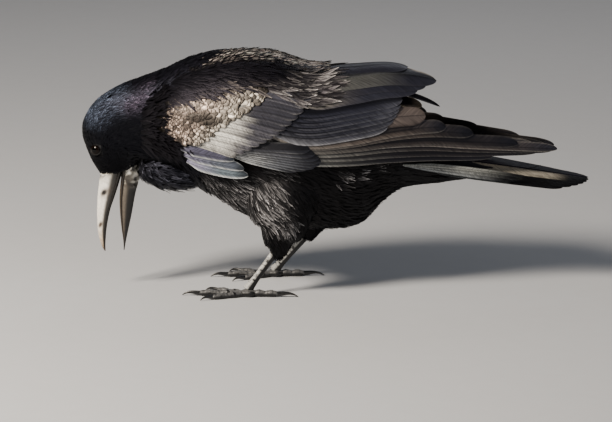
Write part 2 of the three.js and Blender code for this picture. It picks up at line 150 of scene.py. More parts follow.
# The throat bag and the feathered legs: centre (x, z), how far out, radii along and across.
THROAT = [
    [-147, 101, 0, 7, 8],
    [-141, 97, 0, 13, 13],
    [-133, 93, 0, 14, 16],
    [-124, 91.5, 0, 14.5, 18],
    [-114, 91.5, 0, 13.5, 19],
    [-105, 93, 0, 11, 18],
    [-96, 95, 0, 8, 14],
]
THIGHS = {
    "left": [
        [-35, 97, 17, 28, 20],
        [-38, 83, 21, 31, 21],
        [-41, 66, 25, 26, 18],
        [-41, 53, 26, 19, 14],
        [-43, 44, 25, 12.5, 10],
        [-43.5, 36, 24, 8, 7],
        [-44.5, 29.5, 23.5, 4.6, 4.4],
    ],
    "right": [
        [-11, 96, 17, 28, 20],
        [-13, 82, 21, 30, 21],
        [-14, 64, 24, 23, 18],
        [-16, 52, 24.5, 15, 13],
        [-19, 43, 24, 9.5, 9],
        [-21.5, 34, 24.5, 5, 5],
    ],
}
# The outer shape of both folded wings: upright ellipses every WING_STEP from WING_START.
WING_START = -140
WING_STEP = 30
WING_SHAPE = np.array(
    [
        [158, 172, 180, 180, 172, 172.5, 172.5, 165, 150, 136, 124.5, 116],  # top
        [88, 75, 68, 62, 62, 66, 72, 78, 84, 90, 95, 98],  # bottom
        [33, 43, 49, 52, 52, 48.5, 42, 34, 26, 19, 13.5, 10],  # half width
    ]
).T
TAIL_ROLL = [(52, 0.4), (76, 0.4), (106, 0.36), (127, 0.31), (151, 0.24), (172, 0.18), (192, 0.17)]
TAIL = {"root": 52, "bend": 100, "end": 191.5, "root_z": 105, "bend_z": 97.5, "end_z": 84}


def body(u, turn, inset=0):
    """Head, neck and trunk: at station u an ellipse on the upper and lower outline points, with
    the half width across; turn is 0 on top and grows towards the right side. The skin's
    ellipses are smaller by the inset."""
    rows = through(BODY, u)
    upper, lower, half = rows[..., 0:2], rows[..., 2:4], rows[..., 4]
    middle = (upper + lower) / 2
    arm = (upper - lower) / 2
    shrink = 1 - inset / np.linalg.norm(arm, axis=-1)
    x = middle[..., 0] + arm[..., 0] * shrink * np.cos(turn)
    z = middle[..., 1] + arm[..., 1] * shrink * np.cos(turn)
    return np.stack([x, (half - inset) * np.sin(turn), z], axis=-1)


def around(place, f, turn, across=(0, 1, 0)):
    """A tube: the ring at share f of a path lies square to it. place(f) gives the centre, the
    half width and the half height; turn is 0 on the upper side."""
    centre, width, height = place(f)
    ahead = unit(place(np.minimum(1, f + 0.01))[0] - place(np.maximum(0, f - 0.01))[0])
    across = np.asarray(across, float)
    sideways = unit(across - ahead * dot(ahead, across)[..., None])
    wide = sideways * (width * np.sin(turn))[..., None]
    high = np.cross(ahead, sideways) * (height * np.cos(turn))[..., None]
    return centre + wide + high


def limb(stations, side, f, turn, inset=0):
    """The throat bag or a leg: a tube along its stations, drawn in by the inset. On a leg, which
    runs down, turn is 0 at the back."""

    def place(share):
        """The centre, half width and half height at a share of the limb's length."""
        row = through(stations, share * (len(stations) - 1))
        centre = np.stack([row[..., 0], side * row[..., 2], row[..., 1]], axis=-1)
        return centre, row[..., 4] - inset, row[..., 3] - inset

    return around(place, f, turn)


def wing(side, x, angle, lift=0):
    """The folded wings' outer shape: the point at x and `angle` degrees down from the ridge of
    the back on an upright ellipse, `lift` outside it."""
    rows = through(WING_SHAPE, (x - WING_START) / WING_STEP)
    height = (rows[..., 0] - rows[..., 1]) / 2
    half = rows[..., 2]
    sine = np.sin(np.radians(angle))
    cosine = np.cos(np.radians(angle))
    slope = np.hypot(sine / half, cosine / height)
    y = half * sine + lift * sine / half / slope
    z = (rows[..., 0] + rows[..., 1]) / 2 + height * cosine + lift * cosine / height / slope
    return np.stack([x + 0 * y, side * y, z], axis=-1)


def tail_sheet(x, y):
    """The sheet that the tail feathers lie on: its middle line drops to a bend and runs straight
    to its end, it falls away sideways as y squared, and it is rolled to the left."""
    near = mix(TAIL["root_z"], TAIL["bend_z"], (x - TAIL["root"]) / (TAIL["bend"] - TAIL["root"]))
    far = mix(TAIL["bend_z"], TAIL["end_z"], (x - TAIL["bend"]) / (TAIL["end"] - TAIL["bend"]))
    z = np.where(x < TAIL["bend"], near, far) - 0.004 * y * y + strand(TAIL_ROLL, x) * y
    return np.stack([x + 0 * z, y + 0 * z, z], axis=-1)


def edge_sheet(x, drop):
    """The sheet under the low, left side of the rolled tail: it runs back along the flank to the
    outermost feather, upright, with `drop` counted downwards from its middle line."""
    y = strand([(50, 27.5), (60, 24), (70, 20.5), (80, 18.6), (92, 17.8), (112, 18.2), (132, 18.8)], x)
    z = strand([(50, 100.2), (79, 96), (110, 91.9), (137, 88.4)], x) - drop
    return np.stack([x + 0 * z, LEFT * (y + 0 * z), z], axis=-1)


def slopes(surface, p, q):
    """The points of a surface, its slopes along both parameters and its unit normal."""
    here = surface(p, q)
    along = (surface(p + STEP, q) - here) / STEP
    across = (surface(p, q + STEP) - here) / STEP
    return here, along, across, unit(np.cross(along, across))


def parameter_steps(along, across, direction):
    """How much both parameters change for a millimetre in a direction that lies in the surface:
    the inverse of the surface's metric times the direction's products with the slopes."""
    ee, ff, gg = dot(along, along), dot(along, across), dot(across, across)
    a, b = dot(direction, along), dot(direction, across)
    area = ee * gg - ff * ff
    return (gg * a - ff * b) / area, (ee * b - ff * a) / area


def tube_grid(shares, section):
    """Every pair of a share of a tube's length and a turn, in the order that makes faces point
    outwards."""
    return np.meshgrid(shares, -2 * np.pi * np.arange(section) / section, indexing="ij")


def grid_of(rings, section):
    """The tube grid of evenly spaced rings with `section` points each."""
    return tube_grid(np.linspace(0, 1, rings), section)


def ball_grid(margin, rings, section):
    """Every pair of an angle from a ball's pole and a turn round it, as tube_grid, with the rings
    at the poles `margin` wide."""
    polar, turn = tube_grid(np.linspace(margin, np.pi - margin, rings), section)
    return polar, -turn


# ---- Meshes


def tube_faces(count, rings, section):
    """Quads round `count` tubes of `rings` rings with `section` points each, and both ends."""
    start = np.arange(count)[:, None] * rings * section
    ring = (start + np.arange(rings - 1) * section)[..., None]
    k = np.arange(section)
    after = (k + 1) % section
    quads = np.stack([ring + k, ring + after, ring + section + after, ring + section + k], axis=-1)
    return [quads.reshape(-1, 4), start + k[::-1], start + (rings - 1) * section + k]


def joined(shells):
    """The points of groups of tubes (tube, ring, section, 3) in one array, and their faces."""
    faces, first = [], 0
    for shell in shells:
        faces += [group + first for group in tube_faces(*shell.shape[:3])]
        first += shell.size // 3
    return flat(shells), faces


def flat(groups, channels=3):
    """Groups of arrays of any shape as one list of rows with so many channels."""
    return np.concatenate([group.reshape(-1, channels) for group in groups])


def link(name, data):
    """An object of the given data in the scene."""
    found = bpy.data.objects.new(name, data)
    bpy.context.scene.collection.objects.link(found)
    return found


def make_piece(name, points, faces, material, vectors=None, colours=None, unwrap=None, flat_edges=None):
    """A mesh object from an array of drawing points and lists of equal-sided faces. `vectors` and
    `colours`, in three or four channels, are kept on its points as "vane" and "tint"; `unwrap`, a
    place for each point or each corner of a face, is the UV map OFBake."""
    mesh = bpy.data.meshes.new(name)
    vertices = placed(points.reshape(-1, 3))
    loops = np.concatenate([part.ravel() for part in faces]).astype(np.int32)
    totals = np.concatenate([np.full(len(part), part.shape[1]) for part in faces])
    starts = np.concatenate([[0], np.cumsum(totals)[:-1]]).astype(np.int32)
    mesh.vertices.add(len(vertices))
    mesh.vertices.foreach_set("co", vertices.ravel())
    mesh.loops.add(len(loops))
    mesh.loops.foreach_set("vertex_index", loops)
    mesh.polygons.add(len(starts))
    mesh.polygons.foreach_set("loop_start", starts)
    mesh.update(calc_edges=True)
    mesh.validate()
    mesh.shade_smooth()
    if flat_edges:
        mesh.set_sharp_from_angle(angle=np.radians(flat_edges))
    if colours is not None:
        colours = colours.reshape(len(vertices), -1)
        if colours.shape[1] == 3:
            colours = np.concatenate([colours, np.ones((len(vertices), 1))], axis=1)
    layers = (("vane", "FLOAT_VECTOR", "vector", vectors), ("tint", "FLOAT_COLOR", "color", colours))
    for layer, kind, field, values in layers:
        if values is not None:
            kept = mesh.attributes.new(layer, kind, "POINT")
            kept.data.foreach_set(field, values.ravel().astype(np.float32))
    if unwrap is not None:
        corners = unwrap if len(unwrap) == len(loops) else unwrap[loops]
        mesh.uv_layers.new(name="OFBake").data.foreach_set("uv", corners.ravel().astype(np.float32))
    mesh.materials.append(material)
    return link(name, mesh)


def dress(piece, slot, *nodes):
    """Every piece rides on the one body and may stand for solids, which it hides."""
    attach(piece, "root")
    if nodes:
        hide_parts(*nodes)


def make_tube(name, points, colours, material, slot, *nodes):
    """A piece that is one closed tube, from its points (ring, section, 3) and their colours."""
    faces = tube_faces(1, *points.shape[:2])
    dress(make_piece(name, points, faces, material, colours=colours), slot, *nodes)


def opaque(code):
    """An sRGB hex colour for a shader's socket."""
    return (*linear(code), 1)


# ---- Materials


def feed(node, links, values):
    """Puts links and values into the inputs of a node."""
    for name, value in (values or {}).items():
        node.inputs[name].default_value = value
    for name, source in (links or {}).items():
        node.id_data.links.new(source, node.inputs[name])


def add_node(tree, kind, links=None, values=None, **settings):
    """Adds a shader node with its settings, links and values. Returns its outputs."""
    node = tree.nodes.new("ShaderNode" + kind)
    for name, value in settings.items():
        setattr(node, name, value)
    feed(node, links, values)
    return node.outputs


def new_material(name):
    """An empty material, its node tree and its Principled shader."""
    material = bpy.data.materials.new(name)
    material.use_nodes = True
    return material, material.node_tree, material.node_tree.nodes["Principled BSDF"]


MIDDLE = {"From Min": 0.3, "From Max": 0.7}  # where most of a noise's values lie
BARB_SLANT = 1.2  # how far back a barb lies for each millimetre away from its shaft
BARB_STRETCH = 0.12  # barbs are long: the noise runs so much slower along them
KERATIN_IOR = 1.56


def feather(name, roughness, specular, gloss, barb, relief, outline=0.0):
    """Keratin barbs on a shaft: dark melanin colour from each vane's own tint, and a tight film
    of gloss whose colour is the rook's violet, blue or bronze. Barbs run out from the shaft at
    about forty degrees; they are 0.3 mm apart on the bird, and drawn `barb` mm apart to show.
    The alpha of the tint falls to 0 at the edge, which is darkened by the share `outline`: this is painted
    shade, standing for the shadow in the gaps between overlapping vanes."""
    material, tree, shader = new_material(name)
    tint = add_node(tree, "Attribute", attribute_name="tint")
    vane = add_node(tree, "Attribute", attribute_name="vane")
    parts = add_node(tree, "SeparateXYZ", {"Vector": vane["Vector"]})
    side = add_node(tree, "Math", {0: parts["X"]}, operation="ABSOLUTE")
    slant = add_node(tree, "Math", {0: side[0], 2: parts["Y"]}, {1: -BARB_SLANT}, operation="MULTIPLY_ADD")
    across = add_node(tree, "Math", {0: parts["X"]}, {1: BARB_STRETCH}, operation="MULTIPLY")
    on_barbs = add_node(tree, "CombineXYZ", {"X": slant[0], "Y": across[0], "Z": parts["Z"]})
    spacing = {"Scale": 1 / barb, "Detail": 3, "Roughness": 0.6}
    barbs = add_node(tree, "TexNoise", {"Vector": on_barbs[0]}, spacing)["Fac"]
    shade = add_node(tree, "MapRange", {"Value": barbs}, MIDDLE | {"To Min": 0.45, "To Max": 1.6})
    # Painted shade: the tint's alpha darkens the vane's edge by the share outline, for the shadow in the gaps
    # between feathers.
    border = {"From Min": 0.06, "From Max": 0.36, "To Min": 1 - outline, "To Max": 1}
    inner = add_node(tree, "MapRange", {"Value": tint["Alpha"]}, border)
    strength = add_node(tree, "Math", {0: shade[0], 1: inner[0]}, operation="MULTIPLY")
    colour = add_node(tree, "VectorMath", {0: tint["Color"], "Scale": strength[0]}, operation="SCALE")
    silk = MIDDLE | {"To Min": roughness + 0.1, "To Max": roughness - 0.08}
    rough = add_node(tree, "MapRange", {"Value": barbs}, silk)
    bump = add_node(tree, "Bump", {"Height": barbs}, {"Strength": relief, "Distance": 0.3 * MM})
    film = {"IOR": KERATIN_IOR, "Specular IOR Level": specular, "Specular Tint": opaque(gloss)}
    feed(shader, {"Base Color": colour[0], "Roughness": rough[0], "Normal": bump[0]}, film)
    return material


def plain_skin(name):
    """Skin under the coat, covered with grey-black down: dull, with a soft relief of clots about
    3 mm wide."""
    material, tree, shader = new_material(name)
    place = add_node(tree, "TexCoord")
    clots = add_node(tree, "TexNoise", {"Vector": place["Object"]}, {"Scale": 1 / (3 * MM), "Detail": 4})
    greys = {"A": opaque("#09090c"), "B": opaque("#1b1a1f")}
    colour = add_node(tree, "Mix", {"Factor": clots["Fac"]}, greys, data_type="RGBA")
    bump = add_node(tree, "Bump", {"Height": clots["Fac"]}, {"Strength": 0.6, "Distance": 0.6 * MM})
    feed(shader, {"Base Color": colour["Result"], "Normal": bump[0]}, {"Roughness": 0.8})
    return material


def horn(name, roughness, grain, relief, wax, specular=0.5):
    """Bill, claw and scute keratin: the piece's own tint, clouded by growth marks `grain` mm
    wide, with a waxy surface that is rougher where it flakes."""
    material, tree, shader = new_material(name)
    tint = add_node(tree, "Attribute", attribute_name="tint")
    place = add_node(tree, "TexCoord")
    clouds = {"Scale": 1 / (grain * MM), "Detail": 5, "Roughness": 0.65}
    marks = add_node(tree, "TexNoise", {"Vector": place["Object"]}, clouds)["Fac"]
    shade = add_node(tree, "MapRange", {"Value": marks}, MIDDLE | {"To Min": 0.72, "To Max": 1.2})
    colour = add_node(tree, "VectorMath", {0: tint["Color"], "Scale": shade[0]}, operation="SCALE")
    flakes = MIDDLE | {"To Min": roughness - 0.1, "To Max": roughness + 0.15}
    rough = add_node(tree, "MapRange", {"Value": marks}, flakes)
    bump = add_node(tree, "Bump", {"Height": marks}, {"Strength": relief, "Distance": 0.25 * MM})
    coating = {"Specular IOR Level": specular, "Coat Weight": wax, "Coat Roughness": 0.25}
    feed(shader, {"Base Color": colour[0], "Roughness": rough[0], "Normal": bump[0]}, coating)
    return material


def eye_gloss(name):
    """The wet eye: very dark brown iris round a black pupil, under a clear smooth cornea."""
    material, tree, shader = new_material(name)
    tint = add_node(tree, "Attribute", attribute_name="tint")
    cornea = {"Roughness": 0.05, "IOR": 1.34, "Specular IOR Level": 0.3}
    feed(shader, {"Base Color": tint["Color"]}, cornea)
    return material


def studio_floor(name):
    """Matt pale seamless paper, with faint clouds of fibre: sixty in a metre."""
    material, tree, shader = new_material(name)
    place = add_node(tree, "TexCoord")
    fibres = add_node(tree, "TexNoise", {"Vector": place["Object"]}, {"Scale": 60, "Detail": 3})
    greys = {"A": opaque("#c2c4c8"), "B": opaque("#c6c8cc")}
    colour = add_node(tree, "Mix", {"Factor": fibres["Fac"]}, greys, data_type="RGBA")
    feed(shader, {"Base Color": colour["Result"]}, {"Roughness": 0.9})
    return material


# Feather keratin: roughness, specular level, colour of the gloss, space between barbs, relief, and
# painted shade at the edges. The head has the tightest gloss, steel blue to violet; body and belly are
# softer and duller; coverts shine most, warm on the small ones, with painted shade darkening the
# edges of their scales where the gaps between them fall; flight feathers are smooth and silky; tail
# feathers are worn and matt.
HEAD_FEATHER = feather("head_feather_keratin", 0.4, 0.11, "#d2d6fa", 0.7, 0.3)
BODY_FEATHER = feather("body_feather_keratin", 0.44, 0.13, "#e6dcf2", 0.8, 0.45)
BELLY_FEATHER = feather("belly_feather_keratin", 0.5, 0.12, "#eceaf0", 0.8, 0.4)
COVERT_FEATHER = feather("covert_feather_keratin", 0.4, 0.3, "#fbeee4", 0.5, 0.3, 0.88)
LONG_COVERT = feather("greater_covert_keratin", 0.4, 0.3, "#e8e8f6", 1.0, 0.5)
FLIGHT_FEATHER = feather("flight_feather_keratin", 0.36, 0.24, "#dcdcf4", 1.1, 0.45)
TAIL_FEATHER = feather("tail_feather_keratin", 0.5, 0.1, "#e4e4f2", 1.1, 0.6)
DOWN_SKIN = plain_skin("skin_with_down")
# Horn: roughness, width of the growth marks, relief, weight of the wax and specular level. The
# bill is chalky with a little wax, scutes are satin, claws are polished by wear, lids are dull.
BILL_HORN = horn("bill_keratin", 0.42, 2.2, 0.35, 0.2)
LEG_SCALE = horn("leg_scute_keratin", 0.42, 1.2, 0.4, 0.1, 0.35)
CLAW_HORN = horn("claw_keratin", 0.3, 1.6, 0.2, 0.3)
LID_SKIN = horn("eyelid_skin", 0.6, 0.8, 0.5, 0.0, 0.15)
EYE_GLOSS = eye_gloss("eye_cornea")
PAPER = studio_floor("pale_paper")


# ---- Feathers

# A small vane's outline from root to tip: shares of its length, and of its half width there.
OUTLINES = {
    "scale": [[0, 0.5], [0.25, 0.85], [0.5, 1], [0.72, 0.98], [0.87, 0.8], [0.96, 0.48], [1, 0.12]],
    "lance": [[0, 0.45], [0.22, 0.85], [0.48, 1], [0.7, 0.78], [0.87, 0.42], [1, 0.05]],
}
# The four points of a ring, round a vane: an edge, the top, the other edge and the underside.
EDGES = np.array([1, 0, -1, 0])
DOMED = np.array([0, 1, 0, 1])
UNDERSIDE = np.array([0, 0, 0, 1])
PATCH = 0.003  # the width of a vane's patch on the OFBake unwrap
# Steps of a lattice that fills a square evenly: the inverse of the plastic number, and its square.
LATTICE = (0.7548776662, 0.5698402910)
DENSITY_STEPS = 60  # steps of a span over which the greatest density is looked for
BARB_SHIFT = 50  # each vane's barbs start somewhere else in the noise, up to this far apart


def scatter(surface, p_span, q_span, density, seed):
    """Roots strewn evenly: an even lattice over both parameters, as dense as its densest place
    needs, and thinned at random so that each square millimetre keeps density(p, q) of them."""
    draw = np.random.default_rng(seed)
    spans = np.array([p_span, q_span], float)
    sizes = spans[:, 1] - spans[:, 0]

    def weight(p, q):
        """Roots for each step of both parameters: density times the area of the surface there."""
        _, along, across, _ = slopes(surface, p, q)
        return density(p, q) * np.linalg.norm(np.cross(along, across), axis=-1)

    p_grid, q_grid = np.meshgrid(np.linspace(*p_span, DENSITY_STEPS), np.linspace(*q_span, DENSITY_STEPS))
    most = weight(p_grid.ravel(), q_grid.ravel()).max()
    count = np.arange(int(most * sizes[0] * sizes[1]))
    p, q = (spans[i, 0] + sizes[i] * np.mod(0.5 + count * LATTICE[i], 1) for i in (0, 1))
    kept = draw.random(len(p)) < weight(p, q) / most
    return p[kept], q[kept]


def vanes(surface, p, q, out, swirl, length, width, sink, rise, look):
    """Small feathers, each a closed vane on the surface. From its root it runs `length` along
    the first parameter, turned by `swirl` towards the second; its points are moved by the
    metric at the root, and lifted along the normal from -sink at the root to rise at the tip.
    Returns points (vane, ring, 4, 3), and the place across and along each vane in mm."""
    _, along, across, normal = slopes(surface, p, q)
    ahead = unit(along)
    beside = unit(across - ahead * dot(across, ahead)[:, None])
    heading = ahead * np.cos(swirl)[:, None] + beside * np.sin(swirl)[:, None]
    steps_ahead = parameter_steps(along, across, heading)
    steps_aside = parameter_steps(along, across, np.cross(normal * out, heading))
    share, wide = np.array(OUTLINES[look["outline"]]).T
    run = (length[:, None] * share)[:, :, None] + np.zeros(4)
    aside = (width[:, None] / 2 * wide)[:, :, None] * EDGES
    vane_p, vane_q = (
        start[:, None, None] + run * one[:, None, None] + aside * other[:, None, None]
        for start, one, other in zip((p, q), steps_ahead, steps_aside)
    )
    lift = (-sink[:, None] + (sink + rise)[:, None] * share**0.8)[:, :, None] + np.zeros(4)
    dome = (width[:, None] * look["arch"] * wide)[:, :, None]
    lift = lift + dome * DOMED - look["thick"] * UNDERSIDE
    here, _, _, normals = slopes(surface, vane_p, vane_q)
    return here + normals * (out * lift)[..., None], np.stack([aside, run], axis=-1)


def coat(surface, out, look, p_span, q_span, seeds, keep=None, closeness=1.5):
    """A coat of small feathers: roots scattered over both spans, of which it keeps those that
    pass the test `keep`, and a vane on each by the look. Each vane has its own random share of
    the look's measures. Its tint is the look's colour, with the rim's colour at the edges and
    the tip; the alpha of the tint falls to 0 there. Returns points, vectors, tints and unwrap."""
    p, q = scatter(surface, p_span, q_span, cover(look, closeness), seeds[0])
    if keep:
        kept = keep(p, q)
        p, q = p[kept], q[kept]
    draw = np.random.default_rng(seeds[1])
    count = len(p)
    length = look["length"](p, q) * draw.uniform(0.85, 1.15, count)
    width = look["width"](p, q) * draw.uniform(0.9, 1.15, count)
    swirl = look["swirl"](p, q) + draw.normal(0, look["stray"], count)
    sink = look["sink"](p, q) * draw.uniform(0.9, 1.1, count)
    rise = look["rise"](p, q) + draw.normal(0, look["ruffle"], count)
    points, places = vanes(surface, p, q, out, swirl, length, width, sink, rise, look)
    share = places[..., 1] / length[:, None, None]
    edge = np.abs(places[..., 0]) / (width[:, None, None] / 2)
    base, rim = (
        (look[key](p, q) * np.exp(draw.normal(0, look["spread"], count))[:, None])[:, None, None, :]
        for key in ("colour", "rim")
    )
    pale = np.maximum(0.6 * edge * smooth(0.2, 0.7, share), smooth(0.8, 1, share))
    border = np.maximum(np.abs(EDGES) * smooth(0.05, 0.3, share), smooth(0.84, 1, share))
    tints = np.concatenate([blend(base, rim, pale), 1 - border[..., None]], axis=-1)
    shift = np.broadcast_to(draw.random(count)[:, None, None, None] * BARB_SHIFT, (*share.shape, 1))
    vectors = np.concatenate([places, shift], axis=-1)
    return points, vectors, tints, patches(p, q, places, length, width)


def patches(p, q, places, length, width):
    """The OFBake unwrap: the surface's parameters stretched over the unit square, and each
    vane a small patch at its root's place."""
    low = np.array([p.min(), q.min()])
    high = np.array([p.max(), q.max()])
    root = 0.02 + 0.96 * (np.stack([p, q], axis=-1) - low) / (high - low)
    across = places[..., 0] / width[:, None, None]
    along = places[..., 1] / length[:, None, None] - 0.5
    return root[:, None, None, :] + PATCH * np.stack([across, along], axis=-1)


def coat_piece(name, coats, material):
    """Joins the vanes of one or more coats, which may have different outlines, into a piece."""
    shells, vectors, tints, unwrap = zip(*coats)
    points, faces = joined(shells)
    looks = (flat(vectors), flat(tints, 4), flat(unwrap, 2))
    dress(make_piece(f"feathers_{name}", points, faces, material, *looks, flat_edges=60), "body_plumage")


CHANGING = ("length", "width", "colour", "rim", "swirl", "sink", "rise")
COMMON_LOOK = {"swirl": 0, "sink": 1.5, "rise": 0.2, "stray": 0.12, "ruffle": 0.15, "spread": 0.2}
COMMON_LOOK |= {"arch": 0.12, "thick": 0.3}


def over_coat(value):
    """A measure or colour over a coat, as a function of both parameters: from such a function,
    from stops along the first parameter, from a number, or from a hex code."""
    if callable(value):
        return value
    if isinstance(value, list):
        return lambda p, q: strand(value, p)
    if isinstance(value, str):
        value = linear(value)
    return lambda p, q: np.broadcast_to(value, (*np.shape(p), *np.shape(value))).astype(float)


def look_of(length, width, colour, rim, outline="lance", **rest):
    """The look of a coat: length, width, swirl, sink and rise of its vanes in mm and radians,
    the random spread of swirl (stray), rise (ruffle) and brightness (spread), arch as a share
    of the width, thickness, base colour and the colour of the rim."""
    look = COMMON_LOOK | {"length": length, "width": width, "colour": colour, "rim": rim} | rest
    return look | {key: over_coat(look[key]) for key in CHANGING} | {"outline": outline}


def cover(look, closeness):
    """Roots per square millimetre that let vanes overlap like tiles: one for each part of a vane
    that stays in sight, two fifths of its length and half of its width, times the closeness."""
    return lambda p, q: closeness / (0.4 * look["length"](p, q) * 0.5 * look["width"](p, q))


# ---- Skin: one closed surface under the coat


def wing_arm(side):
    """The folded arm under the coverts: a slab between two depths below the wing's shape."""
    x = np.linspace(-126, 34, 24)
    low = strand([(-126, 92), (-74, 96), (-20, 84), (34, 76)], x)
    high = strand([(-126, 40), (-78, 26), (-20, 24), (34, 16)], x)
    outer = mix(high[:, None], low[:, None], np.linspace(0, 1, 12))
    ring_angle = np.concatenate([outer, outer[:, ::-1]], axis=1)
    ring_lift = np.repeat([-4.0, -10.0], 12)
    points = wing(side, x[:, None] + 0 * ring_angle, ring_angle, ring_lift + 0 * ring_angle)
    return points[None] if side == LEFT else points[None, :, ::-1]


SKIN_DETAIL = 1.8  # the size of the remesh's cells


def make_skin():
    """The skin: the body, throat, legs and wing arms drawn in by the coat's depth, joined into
    one closed surface by a fine remesh, and smoothed."""
    stations, turn = tube_grid(np.linspace(-0.15, 19, 90), 48)
    depth = strand([(0, 1.4), (5, 2.2), (9, 4), (16, 3.5), (19, 2)], stations)
    shells = [body(stations, turn, depth)[None], limb(THROAT, 1, *grid_of(24, 32), 2)[None]]
    shells += [limb(THIGHS[name], side, *grid_of(40, 32), 2.2)[None] for name, side in SIDES.items()]
    shells += [wing_arm(side) for side in SIDES.values()]
    piece = make_piece("skin", *joined(shells), DOWN_SKIN)
    remesh = piece.modifiers.new("join", "REMESH")
    remesh.mode = "VOXEL"
    remesh.voxel_size = SKIN_DETAIL * MM
    relax = piece.modifiers.new("relax", "SMOOTH")
    relax.factor = 0.5
    relax.iterations = 5
    found = piece.evaluated_get(bpy.context.evaluated_depsgraph_get())
    joined_mesh = bpy.data.meshes.new_from_object(found)
    piece.modifiers.clear()
    piece.data = joined_mesh
    joined_mesh.shade_smooth()
    return piece


FLESH = ["head", "neck", "trunk", "thigh_left", "thigh_right", "wing_left_coverts", "wing_right_coverts"]
dress(make_skin(), "body_plumage", *FLESH)

# ---- Coat: head, neck, body and legs


LID_REACH = 4.4  # how far from the eye's middle a vane may lie
HEAD_HALF = 6  # vanes rooted nearer than this to the middle of the head pass above the eyes


def clear_of_eyes(u, turn):
    """Roots whose vanes stay off the eyes: root, middle and tip are outside the lid."""
    here, along, _, _ = slopes(body, u, turn)
    clear = np.ones(len(u), bool)
    for share in (0, 0.5, 1):
        spot = here + unit(along) * (head_length(u, turn) * share)[:, None]
        gap = np.hypot(spot[:, 0] - EYE_CENTRE[0], spot[:, 2] - EYE_CENTRE[2])
        clear &= (gap > LID_REACH) | (np.abs(here[:, 1]) < HEAD_HALF)
    return clear


def head_length(u, turn):
    """Feathers are shortest on the face, and grow towards the neck and under the cheeks."""
    return strand([(0, 2.6), (2, 4.2), (6, 8)], u) * (1 + 0.9 * smooth(1.6, 2.4, np.abs(turn)))


def chin_swirl(u, turn):
    """Feathers low on the cheeks turn down over the throat, by up to thirty degrees."""
    return np.sign(turn) * np.radians(30) * smooth(1.2, 2.3, np.abs(turn))


def chin_rise(u, turn):
    """Tips of the lower cheek feathers stand off a little, over the crease above the throat."""
    return 0.15 + 2.2 * smooth(1.5, 2.4, np.abs(turn)) * smooth(1.0, 3.0, u) * smooth(9.0, 7.5, u)


def crown_sheen_colour(dark, blue, violet):
    """Black on the face and cheeks; steel blue on the crown; and a violet stripe down each side
    of the nape, a bell curve across a line that climbs towards the back. The steel blue and the
    violet are painted sheen: light caught on the black feathers."""

    def colour(u, turn):
        """Painted sheen: steel blue laid over black by its share, and violet over both."""
        crown = smooth(2.9, 4.0, u) * smooth(6.4, 5.2, u) * smooth(1.2, 0.5, np.abs(turn))
        line = strand([(5.3, 0.92), (6.3, 0.78), (7.0, 0.52), (8.0, 0.36)], u)
        stripe = np.exp(-(((np.abs(turn) - line) / 0.17) ** 2)) * smooth(5.0, 5.8, u) * smooth(7.3, 6.5, u)
        return blend(blend(dark, blue, crown), violet, stripe)

    return colour


# Head feathers: black, with painted sheen of steel blue on the crown and violet down the nape.
head_look = look_of(
    head_length,
    lambda u, turn: 0.31 * head_length(u, turn),
    crown_sheen_colour("#040404", "#07080c", "#0d0b10"),
    crown_sheen_colour("#060607", "#5a6478", "#5c5364"),
    swirl=chin_swirl, sink=1.0, rise=chin_rise, ruffle=0.1, stray=0.1, spread=0.5,
)
HEAD_ENDS = (-0.35, 6.2)
CROWN_START = 2.6
for name, part in (("face", lambda u: u < CROWN_START), ("crown", lambda u: u >= CROWN_START)):
    keep = lambda u, turn, part=part: part(u) & clear_of_eyes(u, turn)
    coat_piece(name, [coat(body, 1, head_look, HEAD_ENDS, ALL_ROUND, (11, 12), keep, 1.35)], HEAD_FEATHER)

# Neck feathers: black, with the same painted sheen as the head.
neck_look = look_of(
    [(5.8, 8), (10, 14)],
    [(5.8, 2.8), (10, 4.2)],
    crown_sheen_colour("#060608", "#07080c", "#0d0b10"),
    crown_sheen_colour("#0f0d13", "#5a6478", "#5c5364"),
    swirl=chin_swirl, sink=1.8, rise=lambda u, turn: 0.35 + chin_rise(u, turn), spread=0.5,
)
throat_look = look_of(
    [(0, 5), (0.2, 12), (1, 17)],
    [(0, 1.4), (0.2, 1.9)],
    "#08080b",
    "#3d3e47",
    stray=0.3, rise=[(0.3, 1.0), (1, 2.6)], ruffle=1.1, spread=0.8,
)


def breast_line(u, turn):
    """The station, from nape to breast, where the neck's feathers give way to the body's."""
    return mix(9.4, 7.2, smooth(1.5, 2.2, np.abs(turn)))


def neck_side(u, turn):
    """The roots in front of the breast's line."""
    return u < breast_line(u, turn) + 0.2


neck = coat(body, 1, neck_look, (5.8, 9.6), ALL_ROUND, (21, 23), neck_side)
bag = coat(partial(limb, THROAT, 1), 1, throat_look, (0.0, 0.95), ALL_ROUND, (22, 24))
coat_piece("neck", [neck, bag], HEAD_FEATHER)


def flecked_with_glints(base, pink, green, start, end):
    """Painted glints on the back: some flecks stay dark, the others are lit between a pinkish and
    a greenish grey, for light caught on the feathers. They come in between the places `start`
    along the first parameter, and fade between the places `end` of the second one."""

    def colour(p, q):
        """A fleck's painted glint of grey laid over the base by how far it is lit."""
        lit = smooth(0.25, 0.85, chance(p, q)) * smooth(*start, p) * smooth(*end, np.abs(q))
        return blend(base, blend(pink, green, chance(q, p)), lit)

    return colour


